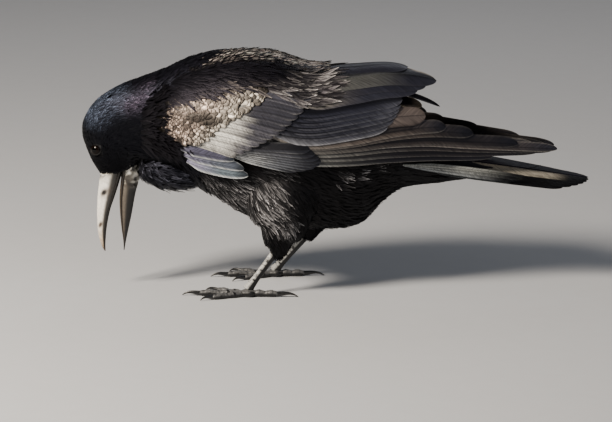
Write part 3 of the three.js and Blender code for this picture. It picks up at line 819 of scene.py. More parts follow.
# Mantle: black feathers with painted glints of pinkish and greenish grey.
mantle_look = look_of(
    11, 3.0, flecked_with_glints("#0c0b0e", "#ab9f9d", "#969690", (8.8, 9.6), (2, 1)), "#0b0a0c",
    stray=0.16, sink=2.6, rise=0.1, spread=0.35,
)
rump_look = look_of(16, 8, "#0c0b0f", "#19171b", "scale", sink=2.4, rise=0.4)
mantle = coat(body, 1, mantle_look, (9.0, 16.5), (-0.85, 0.85), (31, 32))
rump_side = lambda u, turn: np.abs(turn) < strand([(15.5, 1.7), (17, 1.4)], u)
rump = coat(body, 1, rump_look, (15.5, 17.3), (-1.7, 1.7), (33, 34), rump_side)
coat_piece("back", [mantle, rump], BODY_FEATHER)

# The grey of the painted highlights streaked on the breast and the thighs.
STREAK_HIGHLIGHT = "#c8c6c9"


def streak_chance(p, q):
    """About half of the feathers are streaked, and the others almost plain."""
    return mix(0.08, 1, smooth(0.5, 0.75, chance(p, q)))


def streaked(u, turn):
    """Painted highlights: grey streaks on the breast below the wing, from the neck to the thigh,
    for light caught on the feather tips, left off close under the wing and towards the rear where
    shade falls; and three pale fringes on the flank behind it."""
    flank = strand([(6.5, 2.1), (8.0, 2.16), (9.8, 2.06), (10.9, 1.8)], u)
    low = smooth(-0.12, 0.1, np.abs(turn) - flank) * (smooth(6.6, 8.0, u) * smooth(11.9, 10.7, u))
    tufts = smooth(0.3, 0.9, np.cos(2 * np.pi * (u - 13.15) / 0.62)) * smooth(12.9, 13.0, u)
    fringe = tufts * smooth(14.7, 14.6, u) * np.exp(-(((np.abs(turn) - 1.78) / 0.09) ** 2))
    return blend("#111012", STREAK_HIGHLIGHT, np.maximum(low * streak_chance(u, turn), fringe))


# Breast and belly: black, with grey painted highlights in streaks.
belly_look = look_of(
    [(7, 11), (9, 15), (12, 17)], [(7, 1.2), (10.5, 1.35), (12, 2.1)], "#070709", streaked,
    swirl=lambda u, turn: np.sign(turn) * np.radians(16),
    stray=0.17, sink=2.4, rise=0.9, ruffle=0.4, spread=0.4,
)
vent_look = look_of(
    [(16, 18), (18.5, 26)], 5, "#060608", "#111114", sink=2.2, rise=[(16, 0.5), (18, 3.0)], spread=0.4
)
VENT_TOP = [(15.4, 1.2), (15.9, 1.75), (17, 1.9), (17.6, 2.2), (18.7, 2.5)]
breast_side = lambda u, turn: u > breast_line(u, turn) - 0.4
vent_side = lambda u, turn: np.abs(turn) > strand(VENT_TOP, u)
for name, span in (("left", (-np.pi, -1.2)), ("right", (1.2, np.pi))):
    belly = coat(body, 1, belly_look, (6.9, 15.2), span, (41, 42), breast_side, 1.1)
    vent = coat(body, 1, vent_look, (14.8, 18.7), span, (43, 44), vent_side)
    coat_piece(f"belly_{name}", [belly, vent], BELLY_FEATHER)


def trouser_swirl(f, turn):
    """Leg feathers sweep back from the front of the thigh, and hang straight at its foot."""
    sweep = np.radians(strand([(0.1, 58), (0.5, 48), (0.75, 20), (1, 6)], f))
    return -np.sign(turn) * sweep * np.sqrt(np.abs(np.sin(turn)))


def trouser_highlight_rim(f, turn):
    """Painted highlights: grey streaks on the front of the thigh, where the light falls, reaching
    further back lower down; the rear of it and its foot are black."""
    front = smooth(-0.25, 0.25, np.abs(turn) - strand([(0.1, 2.0), (0.5, 1.1)], f)) * smooth(0.56, 0.4, f)
    return blend("#0f0f11", STREAK_HIGHLIGHT, front * streak_chance(f, turn))


# Thighs: black, with grey painted highlights streaked on their fronts.
trouser_look = look_of(
    [(0.2, 16), (0.6, 13), (0.82, 8), (1, 4.5)], [(0.2, 1.3), (1, 1.4)], "#070709", trouser_highlight_rim,
    swirl=trouser_swirl, stray=0.16, sink=2.0, rise=[(0.6, 0.9), (1, 0.1)], ruffle=0.4, spread=0.4,
)
for name, side in SIDES.items():
    leg = partial(limb, THIGHS[name], side)
    trousers = coat(leg, 1, trouser_look, (0.12, 0.97), ALL_ROUND, (51, 52), None, 1.3)
    coat_piece(f"thigh_{name}", [trousers], BELLY_FEATHER)

# ---- Long feathers: each one its own closed vane with a shaft

SHAFT_WIDTH = 0.06  # the dark line of the shaft, as a share of the half width
SHAFT_RISE = 0.45  # the height of its ridge at the root
SHAFT_REACH = 0.6  # how far to the side its ridge falls to a third


def quills(surface, out, rows, paint, seed, rings=40, lines=13, blunt=0.1, thick=0.45, tilt=0.25, crown=0.5):
    """Long feathers along straight or bowed lines on a surface. Each row of `rows` has the root
    (p, q, lift), the tip (p, q, lift), the widths of the outer and the inner vane in mm, and the
    bow of q between them. Half widths grow from the root over the first quarter, and close to
    the tip as a quarter ellipse over the last share `blunt`. The shaft is a ridge with the profile
    of a bell curve; the vanes fall away from it by `crown`, and the outer edge stands `tilt`
    higher than the inner one."""
    draw = np.random.default_rng(seed)
    rows = np.array(rows, float)
    share = np.sin(np.linspace(0, np.pi / 2, rings))
    line = mix(rows[:, None, 0:3], rows[:, None, 3:6], share[None, :, None])
    p, q, lift = line[..., 0], line[..., 1] + rows[:, None, 8] * 4 * share * (1 - share), line[..., 2]
    here, along, across, _ = slopes(surface, p, q)
    ahead = unit(np.gradient(here, axis=1))
    lower = unit(across - ahead * dot(across, ahead)[..., None])
    step_p, step_q = parameter_steps(along, across, lower)
    spread = np.linspace(out, -out, lines)
    spread = np.sign(spread) * np.abs(spread) ** 1.4
    t = np.concatenate([spread, spread[::-1]])
    under = np.repeat([0.0, 1.0], lines)
    start = mix(0.3, 1.0, smooth(0, 0.25, share))
    end = np.sqrt(np.clip(1 - np.clip((share - 1 + blunt) / blunt, 0, 1) ** 2, 0.0006, 1))
    half = np.where(t > 0, rows[:, 6, None], rows[:, 7, None])[:, None, :] * (start * end)[None, :, None]
    aside = t * half
    vane_p = p[..., None] + aside * step_p[..., None]
    vane_q = q[..., None] + aside * step_q[..., None]
    share = share[None, :, None] + 0 * aside
    shaft = SHAFT_RISE * np.exp(-((aside / SHAFT_REACH) ** 2)) * (1 - 0.75 * share)
    level = lift[..., None] + tilt * t + crown * (1 - t * t) * end[None, :, None] + shaft * (1 - under)
    level = level - under * thick * (1 - 0.7 * np.abs(t)) * mix(1.6, 0.6, share)
    here, _, _, normals = slopes(surface, vane_p, vane_q)
    points = here + normals * (out * level)[..., None]
    length = np.linalg.norm(points[:, -1, 0] - points[:, 0, 0], axis=-1)
    shift = np.broadcast_to(draw.random(len(rows))[:, None, None] * BARB_SHIFT, aside.shape)
    vectors = np.stack([aside, length[:, None, None] * share, shift], axis=-1)
    number = np.arange(len(rows))[:, None, None] + np.zeros(aside.shape, int)
    return points, vectors, paint(share, t + 0 * aside, number, draw)


def quill_piece(name, groups, material, *nodes):
    """Joins groups of long feathers into one piece. Its OFBake map gives each feather a cell of
    its own, with the place round the section across it and the share of its length up it."""
    shells, vectors, colours = zip(*groups)
    columns = int(np.ceil(np.sqrt(sum(len(shell) for shell in shells))))
    unwrap, number = [], 0
    for shell in shells:
        count, rings, section = shell.shape[:3]
        cell = number + np.arange(count)
        corner = np.stack([cell % columns, cell // columns], axis=-1)[:, None, None, None, :]
        k, i = np.arange(section), np.arange(rings)
        wide = np.stack([k, k + 1, k + 1, k], axis=-1)[None, :, :] / section
        tall = np.stack([i[:-1], i[:-1], i[1:], i[1:]], axis=-1)[:, None, :] / (rings - 1)
        sides = np.stack(np.broadcast_arrays(wide, tall), axis=-1)[None]
        ends = [np.stack([order / section, end + 0.0 * k], axis=-1) for order, end in ((k[::-1], 0), (k, 1))]
        for inside in (sides, *ends):
            unwrap.append((corner + 0.03 + 0.94 * inside) / columns)
        number += count
    points, faces = joined(shells)
    looks = (flat(vectors), flat(colours), flat(unwrap, 2))
    dress(make_piece(name, points, faces, material, *looks, flat_edges=50), "flight_feathers", *nodes)


def varied(colours, spread, number, draw):
    """Colours, each feather brighter or darker by its own random factor."""
    bright = np.exp(draw.normal(0, spread, number.max() + 1))
    return colours * bright[number][..., None]


def painted(
    base, rim, root=None, tip=None, shaft="#060607", spread=0.12, last=None, shade=None,
    fading=0.7, rims=0.6, ends=(0.7, 1.0), clear=(1.0, 1.1), edge=(0.7, 0.95), edge_end=(1.2, 1.1),
):
    """Colours of a long feather: base, paler along its outer edge, another towards the root or
    the tip, and a dark shaft. The colour runs to `last` over the feathers of the group, by their
    order to the power `fading`, and their pale edges fade by the share `rims`. Below the feather
    that lies on it, over the places across given as `shade`, it is darkened with painted shade
    for that feather's shadow, but not past the share `clear` of its length. The pale edge comes
    in over the places across `edge` and goes over the shares `edge_end`."""
    root, tip, last = (base if code is None else code for code in (root, tip, last))

    def paint(share, t, number, draw):
        """The colours one over another: base, tip, pale edge, shaft and painted shade."""
        order = (number / max(number.max(), 1)) ** fading
        colour = blend(blend(root, last, order), blend(base, last, order), smooth(0.1, 0.6, share))
        colour = blend(colour, tip, smooth(*ends, share))
        brim = (smooth(*edge, t) * 0.8 + smooth(-0.8, -1.0, t) * 0.3) * smooth(*edge_end, share)
        colour = blend(colour, rim, brim * (1 - rims * order))
        colour = blend(colour, shaft, (np.abs(t) < SHAFT_WIDTH) * 0.7)
        # Painted shade where the shadow of the feather lying on this one falls.
        if shade:
            colour = colour * mix(0.25, 1, np.maximum(smooth(*shade, t), smooth(*clear, share)))[..., None]
        return varied(colour, spread, number, draw)

    return paint


def fan(count, *stops):
    """Rows for `count` feathers, blended smoothly through the stops given for the group."""
    return through(stops, np.linspace(0, len(stops) - 1, count))


# Flight feathers, outermost first: root (x, angle, lift), tip (x, angle, lift), outer vane, inner
# vane, bow. Each later feather lies over the inner vane of the one before.
PRIMARIES = [
    [-66, 94, -3.6, 118, 114.5, -3.2, 2.6, 8, 4.5],
    [-66, 88, -3.2, 152, 104, -2.8, 2.8, 8, 9.0],
    [-66, 88, -2.8, 163, 96, -2.4, 3.0, 6, 7.0],
    [-64, 86, -2.4, 167, 89, -2.0, 3.2, 5, 7.0],
    [-62, 85, -1.9, 137, 84, -1.5, 3.6, 6, 8.5],
    [-60, 82, -1.4, 103, 77, -1.0, 4.2, 6, 8.0],
    [-58, 81, -0.9, 82, 76, -0.6, 4.6, 6, 7.0],
    [-54, 76, -0.2, 46, 69, 0.0, 6.0, 8, 0.0],
]
ROUND_PRIMARY = [-56, 78, -0.3, 66.5, 67.5, 0.1, 7.6, 7.2, 2.0]
FAR_PRIMARIES = [
    [-66, 100, -3.6, 112, 113, -3.2, 2.6, 7, 2.0],
    [-66, 96, -3.2, 152, 106, -2.8, 2.8, 7, 6.0],
    [-66, 95, -2.8, 160, 101, -2.4, 3.0, 6, 4.0],
    [-64, 91, -2.4, 166, 95, -2.0, 3.2, 5.5, 2.0],
    [-62, 88, -1.9, 141, 88, -1.5, 3.6, 6, 3.0],
    [-60, 91, -1.4, 110, 85.5, -1.0, 4.2, 6, 4.0],
    [-58, 90, -0.9, 84, 86, -0.6, 4.6, 6.5, 4.0],
    [-56, 88, -0.4, 70, 82, -0.1, 6.0, 7, 2.0],
    [-54, 87, -0.2, 60, 80, 0.0, 6.0, 8, 0.0],
    [-50, 85, 0.0, 54, 77, 0.1, 6.0, 8, 0.0],
]
SECONDARIES = [
    [-50, 82, 0.2, 38, 78, 0.3, 5.5, 9, 1.0],
    [-50, 78.5, 0.5, 42, 73, 0.6, 5.5, 9, 1.0],
    [-48, 75, 0.8, 44.5, 68, 0.9, 5.5, 9, 1.0],
    [-46, 71, 1.1, 46, 64, 1.2, 5.5, 9, 1.0],
    [-44, 67, 1.4, 47.5, 60, 1.5, 5.5, 9, 1.0],
    [-40, 63, 1.7, 48.5, 55, 1.8, 6.0, 9, 1.0],
]
RAGGED_SECONDARY = [-40, 72, -0.9, 66, 74, -0.7, 4.2, 5.5, -3]
STRAY_SECONDARY = [-40, 66, -0.6, 79.5, 69.5, -0.4, 1.8, 3.2, -7.5]
TERTIALS = [
    [-34, 55, 2.0, 60, 43, 2.2, 6.5, 8, 1.0],
    [-34, 47, 2.3, 66, 36, 2.5, 7.0, 9, 1.0],
    [-32, 37, 2.6, 74, 23, 2.8, 10, 9, 2.0],
    [-18, 17, 1.5, 53, 12, 3.1, 10, 7, 1.0],
]
# On the far wing they lie further out from the ridge, closer to the body, and are shorter.
FAR_TERTIALS = np.array(TERTIALS) + [0, 9, -1.5, -5, 9, -1.5, 0, 0, 0]

# Primaries, secondaries and tertials take painted shade below the feather that lies on each.
primary_paint = painted(
    "#121216", "#6a6762", root="#9b9c97", last="#47403b", shade=(0.1, 0.6), spread=0.28, clear=(0.8, 0.9)
)
round_paint = painted("#544c48", "#1c1816", spread=0.1)
ragged_paint = painted("#0b0b0e", "#8f877b", tip="#3c3732", spread=0.1, ends=(0.9, 0.98))
flight_paint = painted(
    "#3b3c44", "#8d8e93", root="#5a5b60", last="#22232c", shade=(0.2, 0.5), fading=0.15, rims=0.9
)
top_paint = painted("#1f2028", "#29292f", root="#56534f", last="#14141c", shade=(-0.2, 0.4), spread=0.2)
# The tertial that carries a painted sheen over its middle and a painted highlight on its upper edge.
SHEENED_TERTIAL = 2


def tertial_sheen_paint(share, t, number, draw):
    """Violet-black, paler at the root, with painted shade below the feather that lies on each; the
    third one has a painted grey-green sheen over its middle and a whitish painted highlight along
    its upper edge near the tip, where it shows beside the fourth."""
    colour = top_paint(share, t, number, draw)
    third = number == SHEENED_TERTIAL
    # Painted sheen of grey-green over the middle of that tertial.
    sheen_wash = third * smooth(0.15, 0.35, share) * smooth(0.85, 0.5, share) * smooth(-0.5, 0.1, t)
    colour = blend(colour, "#4b4c4a", 0.7 * sheen_wash)
    # Painted highlight along its upper edge near the tip.
    return blend(colour, "#a39d94", third * smooth(0.82, 0.88, share) * smooth(-0.7, -0.85, t))


FLIGHT = {
    "left": (PRIMARIES, [ROUND_PRIMARY], round_paint, SECONDARIES, TERTIALS),
    "right": (FAR_PRIMARIES, [RAGGED_SECONDARY], ragged_paint, SECONDARIES + [STRAY_SECONDARY], FAR_TERTIALS),
}
for name, (outer, extra, extra_paint, inner, top) in FLIGHT.items():
    on_wing = partial(quills, partial(wing, SIDES[name]), SIDES[name])
    flight = [
        on_wing(outer, primary_paint, 61, rings=48, lines=9, blunt=0.07, tilt=0.4),
        on_wing(extra, extra_paint, 64, tilt=0.2),
        on_wing(inner, flight_paint, 62, blunt=0.16),
        on_wing(top, tertial_sheen_paint, 63, blunt=0.2, tilt=0.5),
    ]
    nodes = [f"wing_{name}_{group}" for group in ("primaries", "secondaries", "tertials")]
    quill_piece(f"flight_feathers_{name}", flight, FLIGHT_FEATHER, *nodes)

# Coverts with long vanes, lowest first.
GREATER = fan(
    13,
    [-112, 91, 0.6, -74.5, 102.5, 1.6, 2.8, 6, 0],
    [-104, 86, 1.0, -63, 95, 1.9, 3.2, 6, 0],
    [-96, 80, 1.4, -52, 88, 2.2, 3.6, 6, 0],
    [-86, 74, 1.6, -42.6, 81, 2.5, 4.0, 6, 0],
    [-76, 68, 1.8, -33.7, 72, 2.8, 4.4, 7, 0],
    [-66, 60, 2.0, -25, 61, 3.1, 4.8, 7, 0],
    [-58, 48, 2.2, -18.5, 50, 3.4, 5, 7, 0],
)
PRIMARY_COVERTS = fan(
    8,
    [-76, 105, -2.2, -30, 109.5, -1.2, 2.2, 4, 0],
    [-76, 103, -1.6, -18, 106, -0.6, 2.4, 4, 0],
    [-75, 101, -1.2, -11.5, 101.5, -0.2, 2.8, 4.5, 0],
    [-74, 99, -0.8, -14, 96.5, 0.2, 3.2, 4.5, 0],
    [-72, 96, -0.4, -20, 90, 0.6, 3.6, 5, 0],
)
ALULA = [
    [-112, 112, -0.6, -66, 117.5, 0.4, 4.6, 6, 3.5],
    [-114, 106, 0.0, -69, 112.5, 0.9, 3.6, 6, 1.0],
    [-116, 100, 0.6, -76, 105.5, 1.5, 3.6, 5, 0.5],
]


def greater_highlight_paint(share, t, number, draw):
    """A cream painted highlight from the root to an uneven border that lies at four fifths of the
    lowest feather and at the root of the highest; beyond it violet-grey, with a fine pale edge,
    brighter within the highlight, and a dark lower side."""
    order = number / number.max()
    border = strand([(0, 0.85), (0.5, 0.38), (0.85, -0.04), (1, -0.14)], order)
    border = border + 0.16 * (draw.random(number.max() + 1)[number] - 0.5)
    cream = smooth(border + 0.24, border - 0.2, share)
    colour = blend("#4e4d53", "#34343c", smooth(0.1, 0.7, order))
    # Painted highlight: cream laid over the violet-grey up to the border.
    colour = blend(colour, "#cfcdc6", cream)
    colour = blend(colour, "#aaa79e", 0.75 * smooth(0.72, 0.95, t) * mix(0.25, 1, cream))
    colour = blend(colour, "#17161a", 0.8 * smooth(0.72, 0.5, t) * smooth(0.3, 0.5, t))
    colour = blend(colour, "#2a2724", (np.abs(t) < SHAFT_WIDTH) * 0.6)
    colour = blend(colour, "#0c0c10", smooth(0.93, 1.0, share) * 0.6)
    return varied(colour, 0.22, number, draw)


# Primary coverts: black, painted silver and white at the roots and edges as highlights, with painted shade
# below the covert that lies on each.
primary_covert_highlight_paint = painted(
    "#666a71", "#eceeee", root="#c6c9ca", tip="#171921", last="#3e3f45", spread=0.25, shade=(-0.1, 0.55),
    ends=(0.55, 0.9), rims=0.2, fading=1.2, edge_end=(0.95, 0.6),
)
# Alula: black feathers painted teal-silver and lavender with white edges, as highlights.
alula_highlight_paint = painted(
    "#73818a", "#f4f8f8", root="#9b98b2", tip="#252c32", shaft="#1a1c22", last="#4d4c5e", spread=0.1,
    rims=0.5, edge=(0.45, 0.8),
)
for name, side in SIDES.items():
    on_wing = partial(quills, partial(wing, side), side, rings=26)
    coverts = [
        on_wing(PRIMARY_COVERTS, primary_covert_highlight_paint, 71, blunt=0.22),
        on_wing(ALULA, alula_highlight_paint, 72, blunt=0.35),
        on_wing(GREATER, greater_highlight_paint, 73, lines=15, blunt=0.24, tilt=0.15, crown=0.3),
    ]
    quill_piece(f"covert_feathers_{name}", coverts, LONG_COVERT, f"wing_{name}_alula")

# ---- Coat: shoulders and ridge of the back

# Lines over the wing, as angles along x: the scapulars' lower edge, and the lesser coverts' and
# the upper and lower ones of their peach painted highlight.
SCAPULAR_EDGE = [(-136, 60), (-128, 55), (-106, 52), (-86, 49), (-73, 48), (-52, 52), (-34, 56), (-12, 50)]
LESSER_TOP = [(-138, 52), (-128, 52), (-121, 51), (-106, 51), (-86, 49), (-73, 47), (-60, 49)]
LESSER_EDGE = [(-138, 78), (-131, 84), (-124, 89), (-117, 93), (-110, 94)]
LESSER_EDGE += [(-104, 90), (-97, 83), (-85, 76), (-75, 69), (-62, 58)]
PEACH_HIGHLIGHT_TOP = [(-136, 70), (-128, 62), (-122, 59), (-106, 58), (-94, 56), (-73, 54), (-60, 56)]
PEACH_HIGHLIGHT_EDGE = [(-137, 73), (-131, 82), (-124, 88.5), (-117, 93), (-110, 95), (-98, 89), (-60, 70)]


def covert_highlight_colour(dark, peach, cream):
    """Lesser coverts are black, with a painted highlight that is peach between an upper and a lower
    line and cream towards the long coverts; they stay dark outside the lines and in one patch.
    Chance makes the lines ragged, and a third of the feathers darker."""

    def colour(x, angle):
        """Painted highlight, peach to cream, laid over dark by the product of the shares."""
        ragged = 7 * (chance(x, angle) - 0.5)
        inside = smooth(2.5, -3.5, angle - strand(PEACH_HIGHLIGHT_EDGE, x)) * smooth(-139, -128, x)
        inside = inside * smooth(-3, 2, angle + ragged - strand(PEACH_HIGHLIGHT_TOP, x))
        away = ((x + 105) / 15) ** 2 + ((angle - 72 - 0.1 * (x + 105)) / 6) ** 2
        shade = mix(0.14, 1, smooth(0.1, 0.7, chance(angle, x)))
        pale = blend(peach, cream, smooth(-112, -88, x + 0.8 * (angle - 75)))
        return blend(dark, pale, inside * shade * (1 - 0.97 * np.exp(-(away**2))))

    return colour


def scapular_highlight_colour(dark, peach, lit):
    """Scapulars are dark, with a painted highlight behind a line that climbs backwards from the
    coverts to the ridge; some of those that end on the coverts have peach edges, painted highlight
    like the coverts'."""

    def colour(x, angle):
        """Painted highlights: peach edges, and then the painted light, laid over dark by their shares."""
        behind = smooth(-8, 8, x - strand([(10, -32), (25, -42), (45, -62), (60, -74)], angle))
        low = smooth(-7, 0, angle - strand(SCAPULAR_EDGE, x)) * smooth(-134, -124, x) * smooth(-58, -72, x)
        low = low * smooth(0.45, 0.7, chance(angle, x))
        shine = behind * mix(0.1, 1, smooth(0.3, 1.0, chance(x, angle)))
        return blend(blend(dark, peach, low), lit, shine)

    return colour


def turned(*stops):
    """A swirl in degrees from stops down the wing."""
    return lambda x, angle: np.radians(strand(stops, angle))


def lie_of_scapulars(x, angle):
    """Scapulars sweep down over the shoulder in front, and straighten out behind it."""
    return np.radians(strand([(-136, 34), (-84, 18), (-44, -2)], x)) * smooth(4, 24, angle)


def scapular_rise(x, angle):
    """Scapulars stand highest over the middle of the wing, and less near the ridge."""
    return strand([(-136, 1.8), (-110, 4.2), (-50, 4.6), (-14, 3.8)], x) - 1.6 * smooth(30, 16, angle)


def ridge_rise(x, angle):
    """Ridge feathers stand up towards the scapulars, and lie flat at both ends."""
    on_ridge = strand([(-130, 1.2), (-100, 2.6), (-55, 2.6), (-35, 1.5), (-10, 1.0)], x)
    return on_ridge + 1.6 * smooth(6, 18, angle)


# Lesser coverts: black feathers with a painted peach-to-cream highlight.
lesser_look = look_of(
    [(-136, 5), (-112, 7), (-70, 9.5)],
    [(-136, 2.3), (-112, 3.2), (-70, 4.4)],
    covert_highlight_colour("#060506", "#cbb5a8", "#d0c8bc"),
    covert_highlight_colour("#060606", "#100c0a", "#1c1814"),
    "scale",
    swirl=turned((40, -4), (70, 8), (98, 22)),
    sink=[(-137, 3.0), (-128, 0.0), (-112, -1.0), (-60, -1.4)],
    rise=[(-137, 1.2), (-124, 2.1), (-98, 2.7), (-72, 3.4)],
    stray=0.1, ruffle=0.05, spread=0.4, arch=0.06, thick=0.12,
)
# Scapulars: black, with painted highlights on the rear ones and peach painted edges over the coverts.
scapular_look = look_of(
    [(-136, 12), (-90, 18), (-30, 24)],
    [(-136, 2.2), (-90, 2.6), (-60, 3.0), (-30, 3.8)],
    scapular_highlight_colour("#060608", "#060608", "#353236"),
    scapular_highlight_colour("#131218", "#938a84", "#aeaaa9"),
    swirl=lie_of_scapulars, sink=[(-136, 2.0), (-120, -1.6), (-70, -2.2), (-20, -1.4)], rise=scapular_rise,
    stray=0.16, ruffle=0.25, spread=0.4,
)
# Ridge feathers: black, with painted glints of pinkish and greenish grey.
ridge_look = look_of(
    12, 2.6, flecked_with_glints("#0c0b0e", "#a79b98", "#92928b", (-126, -104), (27, 12)), "#0b0a0c",
    sink=[(-130, 1.0), (-100, -0.6), (-20, -1.0)], rise=ridge_rise, stray=0.16, arch=0.08, spread=0.35,
)
collar_look = look_of(
    13, 1.9, "#050506", "#0c0b0f",
    swirl=turned((10, 10), (60, 0), (110, 12)), sink=3.0, rise=2.4, stray=0.2, ruffle=0.5, spread=0.5,
)


def lesser_place(x, angle):
    """Lesser coverts lie between their two lines."""
    return (angle > strand(LESSER_TOP, x)) & (angle < strand(LESSER_EDGE, x))


def scapular_place(side, x, angle):
    """Scapulars lie above their edge; the far side has none low behind, under its tertials."""
    lying = angle < strand(SCAPULAR_EDGE, x)
    return lying & ((x < -44) | (angle > 30)) if side == RIGHT else lying


def collar_place(x, angle):
    """The collar covers the front of the wing, and stays off the alula."""
    front = (x < -134) | (angle > strand(PEACH_HIGHLIGHT_EDGE, x + 4) + 1)
    return front & ((x < -123) | (angle < 96))


for name, side in SIDES.items():
    on_wing = partial(coat, partial(wing, side), side)
    lesser = on_wing(lesser_look, (-138, -60), (44, 99), (81, 83), lesser_place)
    scapulars = on_wing(scapular_look, (-136, -14), (16, 62), (82, 84), partial(scapular_place, side))
    ridge = on_wing(ridge_look, (-128, -15), (2, 27), (85, 86))
    collar = on_wing(collar_look, (-148, -110), (12, 108), (87, 88), collar_place)
    coat_piece(f"shoulder_{name}", [lesser], COVERT_FEATHER)
    coat_piece(f"scapular_{name}", [scapulars, ridge, collar], BODY_FEATHER)

# ---- Tail: six pairs, the middle pair on top. Rows are as for the wings, with y for the angle.
TAIL_PAIRS = 6
NEAR_VANES = (7, 5)
FAR_VANES = (5.5, 6)
FAR_OUTERMOST_VANES = (5.5, 1.8)


def tail_rows(side):
    """One half of the tail, outermost first: each feather further out is shorter and lower."""
    rows = []
    for pair in reversed(range(TAIL_PAIRS)):
        t = (pair + 0.5) / TAIL_PAIRS
        drop = -0.5 * pair + (0.4 if side == RIGHT else 0)
        far_vanes = FAR_VANES if pair else FAR_OUTERMOST_VANES
        vane_widths = far_vanes if side == RIGHT else NEAR_VANES
        tip = [TAIL["end"] - 24 * t * t, side * 17.5 * t, drop + 0.3]
        rows.append([TAIL["root"] + 6, side * 13 * t, drop, *tip, *vane_widths, 0])
    return rows


# Narrow feathers along the outer edge of the tail, rows as above with the drop for the angle.
TAIL_EDGE = [
    [51, 0.5, 0.2, 132, 2.6, 0.3, 1.7, 1.6, 1.0],
    [50, 0.0, 0.6, 138, 0.2, 0.7, 1.7, 1.6, 0.2],
    [50, -0.5, 1.0, 142, -2.0, 1.1, 1.7, 1.6, -0.8],
]
# Near tail feathers, outermost first: the pale greys and the beiges are painted highlights on black feathers.
TAIL_COLOURS_AND_HIGHLIGHTS = ("#636667", "#55575a", "#3f403b", "#242425", "#7b766c", "#857f74")
BEIGE_HIGHLIGHT_TAIL = 4  # from this feather inwards the colour is beige


def near_tail_highlight_paint(share, t, number, draw):
    """Near tail feathers, outermost first: three pale grey, one black and two beige, the grey and
    beige being painted highlights on black feathers. The outer ones turn black past half way, the
    inner ones near their tips, and their outer edges carry a paler painted highlight."""
    start = np.where(number < BEIGE_HIGHLIGHT_TAIL, 0.52, 0.74)
    table = np.array([linear(code) for code in TAIL_COLOURS_AND_HIGHLIGHTS])
    colour = blend(table[number], "#070708", smooth(start, start + 0.16, share))
    # Painted highlight along the outer edge.
    colour = blend(colour, "#77777a", 0.5 * smooth(0.75, 1.0, t) * smooth(start + 0.1, start, share))
    return blend(colour, "#060607", (np.abs(t) < SHAFT_WIDTH) * 0.7)


# Feathers along the tail's low edge: black, painted pale grey as a highlight, with dark edges and a black
# tip.
edge_highlight_paint = painted(
    "#888c8e", "#26282a", tip="#0e0e10", last="#7c7e7b", spread=0.1, rims=0, ends=(0.5, 0.95)
)
far_paint = painted("#0f0f16", "#2b2c33", root="#1c1d20", shaft="#4a464c", spread=0.25)
on_tail = partial(quills, tail_sheet, 1, seed=91, rings=44, tilt=0.0)
on_edge = partial(quills, edge_sheet, LEFT, seed=92, rings=36, lines=7, blunt=0.3, thick=0.3, tilt=0.1)
tail = [
    on_tail(tail_rows(LEFT), near_tail_highlight_paint),
    on_tail(tail_rows(RIGHT), far_paint),
    on_edge(TAIL_EDGE, edge_highlight_paint, crown=0.2),
]
quill_piece("tail_feathers", tail, TAIL_FEATHER, "tail")

# ---- Bill

# Stations from inside the head to the tip: outer ridge (x, z), biting edge (x, z), half width.
UPPER_BILL = [
    [-178.5, 97, -161, 105, 10],
    [-178.8, 88.6, -160.6, 96.6, 9.6],
    [-180.2, 78, -163.8, 84, 7.6],
    [-181.3, 66, -167.6, 72, 6],
    [-181.5, 54, -171.6, 60, 4.8],
    [-180.8, 42, -174.4, 46, 3.4],
    [-178.4, 32.5, -175.4, 34.5, 1.8],
    [-176, 28, -175.4, 28.4, 0.6],
]
LOWER_BILL = [
    [-145.5, 103, -160.5, 107, 9.4],
    [-147.4, 94.4, -161, 97.4, 9],
    [-150.2, 82, -163, 84.4, 7.2],
    [-153, 69, -164.2, 71, 5.6],
    [-155.2, 57, -164, 58, 4.4],
    [-157.6, 46, -163, 46, 3.2],
    [-159.6, 36.6, -161.8, 36.4, 1.8],
    [-161, 28.8, -161.6, 28.8, 0.6],
]
BILL_RINGS = 110
OUTSIDE = 40  # points of a ring round the outside of a mandible
INSIDE = 16  # points of a ring along the inside of it
NOSTRIL = {"place": 0.355, "turn": np.radians(41), "length": 0.024, "height": 0.17, "depth": 1.3}


def soft_noise(shape, passes, seed):
    """Smooth noise on a grid, about -1 to 1: random numbers averaged with their neighbours."""
    field = np.random.default_rng(seed).normal(0, 1, shape)
    for _ in range(passes):
        for axis in (0, 1):
            field = (np.roll(field, 1, axis) + 2 * field + np.roll(field, -1, axis)) / 4
    return field / (2.2 * field.std())


def nostrils(place, turn):
    """For each nostril, how far away a point is: the sum of the squares of its distances along
    and round the bill, as shares of the nostril's length and height."""
    near = ((place - NOSTRIL["place"]) / NOSTRIL["length"]) ** 2
    middles = (NOSTRIL["turn"], np.pi - NOSTRIL["turn"])
    return [near + ((turn - middle) / NOSTRIL["height"]) ** 2 for middle in middles]


